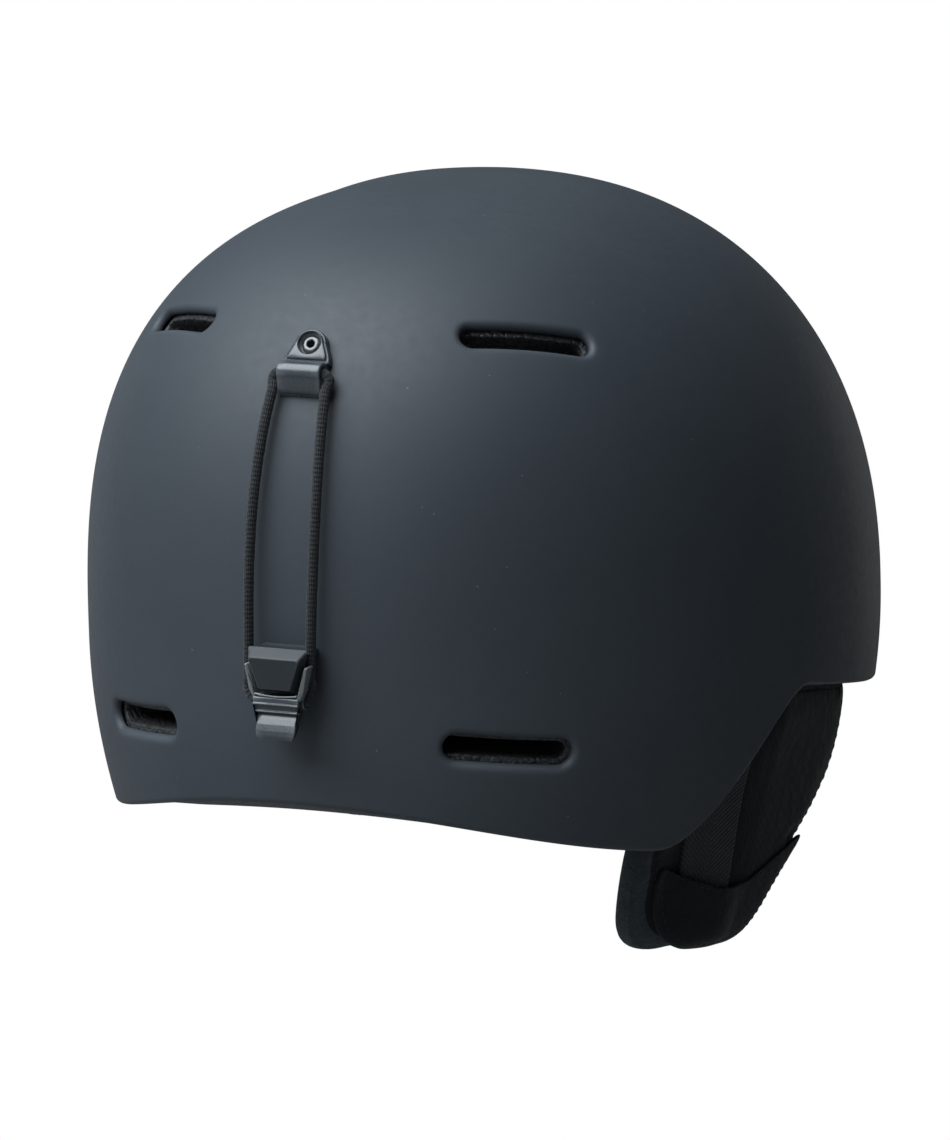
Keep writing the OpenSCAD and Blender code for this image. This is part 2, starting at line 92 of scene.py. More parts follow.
# Ear pads, drawn on the wearer's right; the left one is mirrored and folded in
PAD_THICKNESS = 16.0
PAD_FOOT, PAD_RISE = 33, 79         # how far the pad's foot lies below z = 0, and its height
FOLD = math.radians(44)
HINGE_X, HINGE_Z = 90.0, 40.0

WEB_WIDTH, WEB_THICKNESS = 20.0, 1.6
RIVET_X, RIVET_Y, RIVET_Z = -61.0, 8.0, 0.0     # origin of the chin strap

# Goggle retainer, in local frames on the rear centre line
BRACKET_Z, CATCH_Z = 125, 47
BARREL_Y, BARREL_Z = 3.1, -1.0      # cord through the bracket, in the bracket's frame
CORD_Y, CORD_Z = 5.6, -9.2          # cord through the pull tab, in the catch's frame
PLATE_Z = 8.0                       # screw's height in the bracket's frame


# ---------------------------------------------------------------- the shell's surface
def smooth(t):
    t = np.clip(t, 0, 1)
    return t * t * (3 - 2 * t)


def surface(bearing, level, depth):
    """Points at a depth inside the shell's surface.

    bearing: radians, 0 rear, pi/2 wearer's right; level: 1 crown, 0 widest, below 0 skirt.
    """
    bearing, level, depth = np.broadcast_arrays(
        *(np.asarray(value, float) for value in (bearing, level, depth)))
    cosine, sine = np.cos(bearing), np.sin(bearing)
    height = CROWN - depth
    weights = (sine * sine, np.maximum(cosine, 0) ** 2, np.maximum(-cosine, 0) ** 2)
    power = sum(w * p for w, p in zip(weights, DOME_POWERS))
    taper = sum(w * t for w, t in zip(weights, TAPERS))
    rise = np.sin(np.clip(level, 0, 1) * math.pi / 2)
    z = np.where(level >= 0, height * rise, SKIRT * level)
    scale = np.where(level >= 0, np.maximum(0, 1 - rise ** power) ** (1 / power),
                     1 - taper * level * level)
    plan_power = np.where(cosine > 0, 2.04, 1.9)
    reach = np.where(cosine > 0, REAR, FRONT) - depth
    radius = ((np.abs(sine) / (HALF_WIDTH - depth)) ** plan_power
              + (np.abs(cosine) / reach) ** plan_power) ** (-1 / plan_power) * scale
    y = radius * cosine + np.where(level > 0, CROWN_SHIFT * (z / height) ** 2, 0)
    return np.stack([-radius * sine,
                     y * math.cos(TILT) + z * math.sin(TILT),
                     -y * math.sin(TILT) + z * math.cos(TILT) + LEVEL], -1)


def edge_height(y):
    """Height of the shell's lower edge: low at the rear, high from the ears to the front."""
    y = np.asarray(y, float)
    return (np.where(y > 72, 8 * ((y - 72) / 56) ** 2, 0)
            + 47 * smooth((70 - y) / 44)
            + np.where(y < -20, 8 * ((-y - 20) / 110) ** 2, 0))


def bisect(is_high, low, high, steps):
    for _ in range(steps):
        middle = (low + high) / 2
        over = is_high(middle)
        high = np.where(over, middle, high)
        low = np.where(over, low, middle)
    return (low + high) / 2


def edge_level(bearings, depth, lift):
    def above(level):
        point = surface(bearings, level, depth)
        return point[..., 2] > edge_height(point[..., 1]) + lift
    shape = np.shape(bearings)
    return bisect(above, np.full(shape, -1.0), np.full(shape, 0.6), 30)


def normal(bearing, level, depth, step=2e-3):
    across = surface(bearing + step, level, depth) - surface(bearing - step, level, depth)
    up = surface(bearing, level + step, depth) - surface(bearing, level - step, depth)
    n = np.cross(across, up)
    return n / np.maximum(np.linalg.norm(n, axis=-1, keepdims=True), 1e-9)


def rear_y(z):
    """Where the shell's rear centre line lies at height z."""
    level = bisect(lambda middle: surface(0, middle, 0)[2] > z, -0.8, 0.95, 40)
    return surface(0, level, 0)[1]


def rear_frame(z):
    """Frame on the rear centre line: Y outward, Z up along the surface."""
    lean = math.atan2(rear_y(z - 2) - rear_y(z + 2), 4)
    return Matrix.Translation((0, rear_y(z), z)) @ Matrix.Rotation(lean, 4, "X")


# ---------------------------------------------------------------- mesh helpers
def make(name, vertices, faces, materials, body, slot, replaces=None, indices=None, uvs=None):
    """Mesh object from points in mm; a body of None leaves it attached to no body."""
    mesh = bpy.data.meshes.new(name)
    mesh.from_pydata([tuple(v) for v in np.asarray(vertices, float) * MM], [],
                     [tuple(int(i) for i in face) for face in faces])
    for material in materials:
        mesh.materials.append(material)
    if indices is not None:
        mesh.polygons.foreach_set("material_index", np.asarray(indices, np.int32))
    if uvs is not None:
        layer = mesh.uv_layers.new(name="UVMap")
        loops = np.zeros(len(mesh.loops), np.int32)
        mesh.loops.foreach_get("vertex_index", loops)
        layer.data.foreach_set("uv", np.asarray(uvs, np.float32)[loops].ravel())
    mesh.validate()
    mesh.polygons.foreach_set("use_smooth", np.ones(len(mesh.polygons), bool))
    mesh.update()
    bm = bmesh.new()
    bm.from_mesh(mesh)
    bmesh.ops.recalc_face_normals(bm, faces=bm.faces)
    bm.to_mesh(mesh)
    bm.free()
    obj = bpy.data.objects.new(name, mesh)
    SCENE.collection.objects.link(obj)
    if body:
        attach(obj, body)
    if replaces:
        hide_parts(replaces)
    return obj


def tube_faces(rings, count, loop=False):
    """Quads between rings of count points; loop joins the last ring to the first."""
    faces = []
    for k in range(rings if loop else rings - 1):
        after = (k + 1) % rings * count
        for i in range(count):
            j = (i + 1) % count
            faces.append((k * count + i, k * count + j, after + j, after + i))
    return faces


def fan_faces(rings, count):
    """Tube closed by fans to two centre points stored after the rings."""
    first, last, base = rings * count, rings * count + 1, (rings - 1) * count
    return (tube_faces(rings, count)
            + [(first, (i + 1) % count, i) for i in range(count)]
            + [(last, base + i, base + (i + 1) % count) for i in range(count)])


def as_drawn(points):
    return np.array(points, float)


class Piece:
    """Collects the parts of one mesh."""

    def __init__(self):
        self.vertices, self.faces, self.indices, self.uvs = [], [], [], []

    def add(self, vertices, faces, index=0, uvs=None):
        base = len(self.vertices)
        self.vertices.extend(tuple(v) for v in vertices)
        self.uvs.extend(tuple(v) for v in (np.zeros((len(vertices), 2)) if uvs is None else uvs))
        self.faces.extend(tuple(base + i for i in face) for face in faces)
        self.indices.extend([index] * len(faces))

    def add_rings(self, rings, index=0, loop=False, uvs=None):
        """Tube through the rings, closed by flat ends unless it is a loop."""
        count = len(rings[0])
        faces = tube_faces(len(rings), count, loop)
        if not loop:
            faces.append(tuple(range(count)))
            faces.append(tuple((len(rings) - 1) * count + i for i in reversed(range(count))))
        self.add(np.concatenate(rings), faces, index, uvs)

    def finish(self, name, materials, body, slot, replaces=None, place=as_drawn):
        vertices = place(np.array(self.vertices, float))
        return make(name, vertices, self.faces, materials, body, slot, replaces,
                    self.indices, self.uvs)


def unit(vectors):
    return vectors / np.linalg.norm(vectors, axis=-1, keepdims=True)


def distances(path):
    steps = np.linalg.norm(np.diff(path, axis=0), axis=1)
    return np.concatenate([[0], np.cumsum(steps)])


def interpolate(at, known, points):
    return np.stack([np.interp(at, known, column) for column in points.T], 1)


def closed(path):
    return np.vstack([path, path[:1]])


def round_tube(piece, path, radius, sides, index=0, loop=False):
    """Tube along a path; U runs round it, V is the distance along it in mm."""
    path = np.asarray(path, float)
    count = len(path)
    if loop:
        along = unit(np.roll(path, -1, 0) - np.roll(path, 1, 0))
    else:
        along = unit(np.gradient(path, axis=0))
    start = np.array([0.0, 1.0, 0.0] if abs(along[0][1]) < 0.9 else [0.0, 0.0, 1.0])
    side = unit(np.cross(along[0], start))
    sides_at = []
    for tangent in along:
        side = unit(side - tangent * (side @ tangent))
        sides_at.append(side.copy())
    if loop:    # spread the leftover twist
        end = unit(sides_at[-1] - along[0] * (sides_at[-1] @ along[0]))
        twist = math.atan2(np.cross(sides_at[0], end) @ along[0], sides_at[0] @ end)
        for k in range(count):
            a = -twist * k / count
            sides_at[k] = (sides_at[k] * math.cos(a)
                           + np.cross(along[k], sides_at[k]) * math.sin(a))
    radii = np.broadcast_to(np.asarray(radius, float), (count,))
    reached = distances(path)
    rings, uvs = [], []
    for k in range(count):
        other = np.cross(along[k], sides_at[k])
        ring = []
        for i in range(sides):
            a = 2 * math.pi * i / sides
            offset = sides_at[k] * math.cos(a) + other * math.sin(a)
            ring.append(path[k] + offset * radii[k])
            uvs.append((i / sides, reached[k]))
        rings.append(ring)
    piece.add_rings(rings, index, loop, uvs)


def stitches(piece, path, outward, pitch, length, radius, index=0, lift=0.05):
    """Row of thread stitches along a path, each bowed so that its ends sink in."""
    path = np.asarray(path, float)
    outward = np.broadcast_to(np.asarray(outward, float), np.shape(path))
    reached = distances(path)
    bow = np.array([-0.35, 0.05, 0.2, 0.05, -0.35])
    taper = np.array([0.45, 0.95, 1, 0.95, 0.45])
    count = max(1, int(reached[-1] / pitch))
    for k in range(count):
        centre = (k + 0.5) * reached[-1] / count
        at = np.linspace(centre - length / 2, centre + length / 2, 5)
        points = interpolate(at, reached, path)
        up = unit(interpolate(at, reached, outward))
        points = points + up * (lift + bow[:, None] * radius * 1.6)
        round_tube(piece, points, taper * radius, 6, index)


# Half of the webbing's section: share of the half width, share of the half thickness
WEB_SECTION = [(-1, 0.25), (-0.985, 0.7), (-0.95, 0.98), (-0.88, 1.0), (-0.6, 0.9), (-0.2, 0.9),
               (0.2, 0.9), (0.6, 0.9), (0.88, 1.0), (0.95, 0.98), (0.985, 0.7), (1, 0.25)]


def webbing(piece, path, outward, width):
    """Webbing along a path; its UVs are metres along and across it."""
    path = np.asarray(path, float)
    along = unit(np.gradient(path, axis=0))
    across = unit(np.cross(np.broadcast_to(np.asarray(outward, float), path.shape), along))
    up = np.cross(along, across)
    width = np.broadcast_to(np.asarray(width, float), (len(path),))
    half = WEB_THICKNESS / 2
    section = [(share, lift * half) for share, lift in WEB_SECTION]
    section += [(share, -lift * half) for share, lift in WEB_SECTION[::-1]]
    reached = distances(path)
    rings, uvs = [], []
    for k in range(len(path)):
        rings.append([path[k] + across[k] * share * width[k] / 2 + up[k] * lift
                      for share, lift in section])
        uvs += [(reached[k] * MM, share * width[k] / 2 * MM) for share, _ in section]
    piece.add_rings(rings, uvs=uvs)


# ---------------------------------------------------------------- materials
TURN = 6.2832   # radians in one wave


def scaled(colour, factor):
    return tuple(x * factor for x in colour)


class Shader:
    """A material with one Principled surface and the nodes that feed it."""

    def __init__(self, name):
        self.material = bpy.data.materials.new(name)
        self.material.use_nodes = True
        self.tree = self.material.node_tree
        self.tree.nodes.clear()
        self.output = self.add("OutputMaterial")
        self.surface = self.add("BsdfPrincipled")
        self.feed(self.output.inputs[0], self.surface.outputs[0])
        self.relief = None

    def add(self, kind, **settings):
        node = self.tree.nodes.new("ShaderNode" + kind)
        for name, value in settings.items():
            setattr(node, name, value)
        return node

    def feed(self, socket, value):
        """Links a socket, or sets a number or an RGB colour."""
        if isinstance(value, bpy.types.NodeSocket):
            self.tree.links.new(value, socket)
        elif isinstance(value, tuple):
            socket.default_value = (*value, 1)
        else:
            socket.default_value = value

    def finish(self, inputs):
        """Sets the surface's inputs and hands back the material."""
        for name, value in inputs.items():
            self.feed(self.surface.inputs[name], value)
        return self.material

    def coordinates(self, source="Object", scale=(1000, 1000, 1000)):
        """Texture coordinates, in mm unless scaled otherwise."""
        source_node = self.add("TexCoord")
        mapping = self.add("Mapping")
        mapping.inputs["Scale"].default_value = scale
        self.feed(mapping.inputs[0], source_node.outputs[source])
        return mapping.outputs[0]

    def texture(self, kind, vector, settings, **inputs):
        node = self.add("Tex" + kind, **settings)
        for name, value in inputs.items():
            node.inputs[name.capitalize()].default_value = value
        self.feed(node.inputs["Vector"], vector)
        return node.outputs

    def noise(self, vector, scale, detail=3, roughness=0.55):
        return self.texture("Noise", vector, {}, scale=scale, detail=detail,
                            roughness=roughness)[0]

    def voronoi(self, vector, scale, feature="F1"):
        return self.texture("Voronoi", vector, {"feature": feature}, scale=scale)

    def ramp(self, factor, *stops):
        """Colour ramp; each stop is a position and a grey or a colour."""
        node = self.add("ValToRGB")
        elements = node.color_ramp.elements
        while len(elements) < len(stops):
            elements.new(0.5)
        for element, (position, colour) in zip(elements, stops):
            element.position = position
            element.color = (*colour, 1) if isinstance(colour, tuple) else (*[colour] * 3, 1)
        self.feed(node.inputs[0], factor)
        return node.outputs[0]

    def math(self, operation, *values):
        node = self.add("Math", operation=operation)
        for socket, value in zip(node.inputs, values):
            self.feed(socket, value)
        return node.outputs[0]

    def times(self, first, second):
        return self.math("MULTIPLY", first, second)

    def halved(self, value):
        """Moves a value between -1 and 1 to between 0 and 1."""
        return self.math("MULTIPLY_ADD", value, 0.5, 0.5)

    def mix(self, factor, first, second):
        node = self.add("Mix", data_type="RGBA")
        for k, value in ((0, factor), (6, first), (7, second)):
            self.feed(node.inputs[k], value)
        return node.outputs[2]

    def bump(self, height, distance, strength):
        """Adds relief over the relief so far."""
        node = self.add("Bump")
        self.feed(node.inputs["Strength"], strength)
        self.feed(node.inputs["Distance"], distance)
        self.feed(node.inputs["Height"], height)
        if self.relief:
            self.feed(node.inputs["Normal"], self.relief)
        self.relief = node.outputs[0]
        self.feed(self.surface.inputs["Normal"], self.relief)

    def edges(self, low, high):
        """Mask of the convex edges."""
        return self.ramp(self.add("NewGeometry").outputs["Pointiness"], (low, 0.0), (high, 1.0))


def shell_material():
    s = Shader("shell_matte")
    place = s.coordinates()
    cloud = s.noise(place, scale=0.022)
    fine = s.noise(place, scale=2.6, detail=4, roughness=0.6)
    grain = s.noise(place, scale=7.0, detail=2, roughness=0.5)
    colour = s.ramp(cloud, (0.3, (0.0200, 0.0265, 0.0345)), (0.7, (0.0235, 0.0305, 0.0390)))
    colour = s.mix(0.10, colour, s.ramp(fine, (0.35, (0.014, 0.018, 0.023)),
                                        (0.65, (0.036, 0.044, 0.052))))
    # a few tiny light specks of dust
    cells = s.voronoi(place, scale=0.16)
    speck = s.ramp(cells["Distance"], (0.0, 1.0), (0.028, 0.8), (0.04, 0.0))
    chosen = s.ramp(s.noise(place, scale=0.05, detail=1), (0.5, 0.0), (0.56, 1.0))
    colour = s.mix(s.times(s.times(speck, chosen), 0.35), colour, (0.30, 0.33, 0.35))
    # painted highlight: the convex edges, the rim and the slots' lips, lightened
    colour = s.mix(s.times(s.edges(0.505, 0.56), 0.35), colour, (0.075, 0.088, 0.10))
    roughness = s.ramp(s.noise(place, scale=0.35), (0.3, 0.60), (0.7, 0.67))
    s.bump(grain, distance=0.00006, strength=0.35)
    s.bump(fine, distance=0.0001, strength=0.25)
    return s.finish({"Base Color": colour, "Metallic": 0.0, "Roughness": roughness,
                     "Specular IOR Level": 0.42, "Coat Weight": 0.02, "Coat Roughness": 0.35})


def foam_material():
    s = Shader("foam_beads")
    place = s.coordinates()
    beads = s.voronoi(place, scale=0.42)
    gap = s.voronoi(place, scale=0.42, feature="DISTANCE_TO_EDGE")["Distance"]
    fleck = s.ramp(s.noise(place, scale=2.2, roughness=0.7), (0.60, 0.0), (0.68, 1.0))
    colour = s.mix(beads["Color"], (0.010, 0.011, 0.013), (0.024, 0.026, 0.029))
    colour = s.mix(s.ramp(gap, (0.0, 0.75), (0.09, 0.0)), colour, (0.004, 0.004, 0.005))
    colour = s.mix(s.times(fleck, 0.30), colour, (0.11, 0.115, 0.12))
    s.bump(s.math("MINIMUM", gap, 0.25), distance=0.0016, strength=0.7)
    s.bump(s.noise(place, scale=3.5), distance=0.0002, strength=0.4)
    return s.finish({"Base Color": colour, "Roughness": 0.62})


def fleece_material():
    s = Shader("pad_fleece")
    place = s.coordinates()
    pile = s.noise(place, scale=0.9, detail=5, roughness=0.75)
    lumps = s.noise(place, scale=0.16, roughness=0.6)
    fibres = s.noise(place, scale=2.4, roughness=0.8)
    colour = s.ramp(pile, (0.30, (0.013, 0.017, 0.020)), (0.52, (0.026, 0.033, 0.038)),
                    (0.75, (0.052, 0.062, 0.070)))
    colour = s.mix(s.times(lumps, 0.4), colour, (0.018, 0.023, 0.027))
    s.bump(pile, distance=0.0011, strength=0.9)
    s.bump(fibres, distance=0.0004, strength=0.8)
    s.bump(lumps, distance=0.0016, strength=0.5)
    return s.finish({"Base Color": colour, "Roughness": 0.95, "Specular IOR Level": 0.15,
                     "Sheen Weight": 0.35, "Sheen Roughness": 0.5,
                     "Sheen Tint": (0.5, 0.56, 0.6)})


def knit_material(name, dark, light, rib):
    """Fine knit of two crossed bands; rib is their spacing in mm."""
    s = Shader(name)
    place = s.coordinates()
    bands = [s.texture("Wave", place, {"bands_direction": axis},
                       scale=1 / rib / 3.14159 * 1.57, distortion=0.6, detail=1)["Fac"]
             for axis in "XZ"]
    height = s.mix(0.55, s.times(*bands), s.noise(place, scale=1.6 / rib, roughness=0.6))
    cloud = s.noise(place, scale=0.09)
    colour = s.mix(height, dark, light)
    colour = s.mix(s.times(cloud, 0.5), colour, scaled(dark, 0.7))
    fuzz = s.noise(place, scale=2.0, detail=4, roughness=0.7)
    fuzz = s.ramp(fuzz, (0.6, 0.0), (0.72, 1.0))
    colour = s.mix(s.times(fuzz, 0.25), colour, scaled(light, 2.2))
    s.bump(height, distance=0.00025, strength=0.6)
    s.bump(s.noise(place, scale=0.25), distance=0.0012, strength=0.35)
    return s.finish({"Base Color": colour, "Roughness": 0.88, "Specular IOR Level": 0.2,
                     "Sheen Weight": 0.12, "Sheen Roughness": 0.45})


def webbing_material():
    """Twill: diagonal ridges over lengthwise yarns, in the strap's own directions."""
    s = Shader("webbing")
    split = s.add("SeparateXYZ")
    s.feed(split.inputs[0], s.coordinates("UV"))
    along, across = split.outputs[0], split.outputs[1]
    diagonal = s.math("ADD", s.times(along, TURN / 1.5),
                      s.times(s.math("ABSOLUTE", across), TURN / 1.7))
    ridges = s.halved(s.math("SINE", diagonal))
    yarns = s.halved(s.math("SINE", s.times(across, TURN / 1.25)))
    picks = s.halved(s.math("SINE", s.times(along, TURN / 0.75)))
    height = s.math("ADD", s.times(ridges, 0.6),
                    s.math("ADD", s.times(yarns, 0.25), s.times(picks, 0.15)))
    fibres = s.noise(s.coordinates(), scale=3.0, roughness=0.7)
    colour = s.mix(height, (0.008, 0.0078, 0.009), (0.042, 0.040, 0.044))
    colour = s.mix(s.times(fibres, 0.35), colour, (0.019, 0.018, 0.020))
    s.bump(height, distance=0.00035, strength=0.9)
    s.bump(fibres, distance=0.0002, strength=0.4)
    return s.finish({"Base Color": colour, "Roughness": 0.78, "Specular IOR Level": 0.3,
                     "Sheen Weight": 0.1})


def cord_material():
    """Braid of two crossed spirals, eight strands round, 2.4 mm long."""
    s = Shader("cord_braid")
    split = s.add("SeparateXYZ")
    s.feed(split.inputs[0], s.coordinates("UV", scale=(1, 1, 1)))
    around = s.times(split.outputs[0], TURN * 8)
    along = s.times(split.outputs[1], TURN / 2.4)
    spirals = [s.math("SINE", s.math(sign, around, along)) for sign in ("ADD", "SUBTRACT")]
    height = s.halved(s.times(*spirals))
    fibres = s.noise(s.coordinates(), scale=2.6, detail=4, roughness=0.75)
    colour = s.mix(height, (0.0022, 0.0026, 0.0032), (0.0095, 0.0115, 0.0145))
    flecks = s.ramp(fibres, (0.54, 0.0), (0.74, 1.0))
    colour = s.mix(s.times(flecks, 0.40), colour, (0.045, 0.051, 0.058))
    s.bump(height, distance=0.0003, strength=0.9)
    s.bump(fibres, distance=0.0002, strength=0.5)
    return s.finish({"Base Color": colour, "Roughness": 0.72, "Specular IOR Level": 0.3,
                     "Sheen Weight": 0.10, "Sheen Roughness": 0.4})


def plastic_material(name, base, roughness, edge, edge_wear_and_highlight=0.6, grain=0.22, grain_depth=0.00003,
                     specular=0.55):
    """Grained plastic whose convex edges are lightened towards the edge colour, partly as wear
    and partly as a painted highlight; grain is its size in mm.
    """
    s = Shader(name)
    place = s.coordinates()
    cloud = s.noise(place, scale=0.12)
    grains = s.noise(place, scale=1 / grain, roughness=0.6)
    colour = s.mix(cloud, scaled(base, 0.85), scaled(base, 1.18))
    colour = s.mix(0.12, colour, s.ramp(grains, (0.4, scaled(base, 0.5)),
                                        (0.6, scaled(base, 1.7))))
    # convex edges, scratched: partly wear, partly a painted highlight
    worn_and_highlit_edges = s.edges(0.515, 0.60)
    scratches = s.noise(s.coordinates(scale=(300, 1600, 2400)), scale=1.0, detail=4,
                        roughness=0.7)
    scratches = s.ramp(scratches, (0.35, 0.55), (0.65, 1.0))
    colour = s.mix(s.times(s.times(worn_and_highlit_edges, scratches), edge_wear_and_highlight), colour, edge)
    rough = s.ramp(grains, (0.3, roughness - 0.05), (0.7, roughness + 0.06))
    s.bump(grains, distance=grain_depth, strength=0.6)
    s.bump(cloud, distance=0.0003, strength=0.2)
    return s.finish({"Base Color": colour, "Roughness": rough, "Specular IOR Level": specular})


def steel_material():
    s = Shader("screw_steel")
    brushed = s.noise(s.coordinates(scale=(900, 2600, 900)), scale=1.0, detail=4, roughness=0.7)
    tarnish = s.noise(s.coordinates(), scale=0.6)
    colour = s.mix(brushed, (0.075, 0.078, 0.082), (0.14, 0.143, 0.148))
    colour = s.mix(s.times(tarnish, 0.4), colour, (0.05, 0.052, 0.055))
    rough = s.ramp(brushed, (0.3, 0.30), (0.7, 0.44))
    s.bump(brushed, distance=0.00004, strength=0.5)
    return s.finish({"Base Color": colour, "Metallic": 1.0, "Roughness": rough})


def hook_material():
    s = Shader("hook_loop")
    place = s.coordinates()
    height = s.ramp(s.voronoi(place, scale=1.4)["Distance"], (0.0, 1.0), (0.6, 0.0))
    colour = s.mix(height, (0.004, 0.004, 0.005), (0.03, 0.03, 0.032))
    s.bump(height, distance=0.0006, strength=1.0)
    s.bump(s.noise(place, scale=3), distance=0.0002, strength=0.5)
    return s.finish({"Base Color": colour, "Roughness": 0.7})


SHELL = shell_material()
FOAM = foam_material()
FLEECE = fleece_material()
STRETCH = knit_material("stretch_fabric", dark=(0.0052, 0.0058, 0.0068),
                        light=(0.0105, 0.0113, 0.0128), rib=0.8)
COMFORT = knit_material("comfort_fabric", dark=(0.010, 0.011, 0.013),
                        light=(0.030, 0.033, 0.038), rib=1.0)
WEBBING = webbing_material()
CORD = cord_material()
PLASTIC = plastic_material("moulded_plastic", (0.012, 0.0125, 0.014), roughness=0.42,
                           edge=(0.08, 0.082, 0.086), edge_wear_and_highlight=0.45, grain=0.35,
                           grain_depth=0.00006)
RUBBER = plastic_material("rubber_keeper", (0.009, 0.009, 0.010), roughness=0.66,
                          edge=(0.04, 0.04, 0.042), edge_wear_and_highlight=0.3, grain=0.5, grain_depth=0.0001)
SATIN = plastic_material("satin_plastic", (0.024, 0.030, 0.036), roughness=0.28,
                         edge=(0.30, 0.33, 0.36))
# near-black and barely reflective: painted shade for the disc in the screw's socket
SOCKET_SHADE = plastic_material("socket_painted_shade", (0.0015, 0.0015, 0.0016), roughness=0.9,
                          edge=(0.002, 0.002, 0.002), edge_wear_and_highlight=0.1, specular=0.02)
# lighter copy of the satin plastic: painted light on the pull tab's cheeks and lip
SATIN_PAINTED_LIT = plastic_material("satin_plastic_painted_lit", (0.072, 0.082, 0.086), roughness=0.26,
                               edge=(0.34, 0.37, 0.38))
SATIN_DARK = plastic_material("satin_plastic_dark", (0.0125, 0.0160, 0.0195), roughness=0.46,
                              edge=(0.20, 0.225, 0.25), edge_wear_and_highlight=0.7, specular=0.3)
STEEL = steel_material()
HOOKS = hook_material()
THREAD = knit_material("thread", dark=(0.010, 0.010, 0.011), light=(0.035, 0.035, 0.037),
                       rib=0.25)


# ---------------------------------------------------------------- shell and liner
def vent_frame(vent, side):
    """Centre, lengthwise, upward and outward directions of a slot, its length and height."""
    x, y, z, heading, pitch, length, height = vent
    turn = Matrix.Rotation(math.radians(-side * heading), 3, "Z")
    axes = np.array(turn @ Matrix.Rotation(math.radians(pitch), 3, "X"))
    return np.array([side * x, y, z], float), axes[:, 0], axes[:, 2], axes[:, 1], length, height


def onto_surface(centre, along, up, wanted, depth, bearing, level):
    """Surface points whose coordinates along and up from a slot's centre are wanted."""
    bearing = np.full(len(wanted), float(bearing))
    level = np.full(len(wanted), float(level))
    step = 1e-4
    for _ in range(25):     # Newton steps, limited in size
        point = surface(bearing, level, depth)
        miss_a = (point - centre) @ along - wanted[:, 0]
        miss_u = (point - centre) @ up - wanted[:, 1]
        by_bearing = (surface(bearing + step, level, depth) - point) / step
        by_level = (surface(bearing, level + step, depth) - point) / step
        a, b = by_bearing @ along, by_level @ along
        c, d = by_bearing @ up, by_level @ up
        det = a * d - b * c
        bearing = bearing - np.clip((d * miss_a - b * miss_u) / det, -0.1, 0.1)
        level = level - np.clip((-c * miss_a + a * miss_u) / det, -0.08, 0.08)
    return surface(bearing, level, depth)


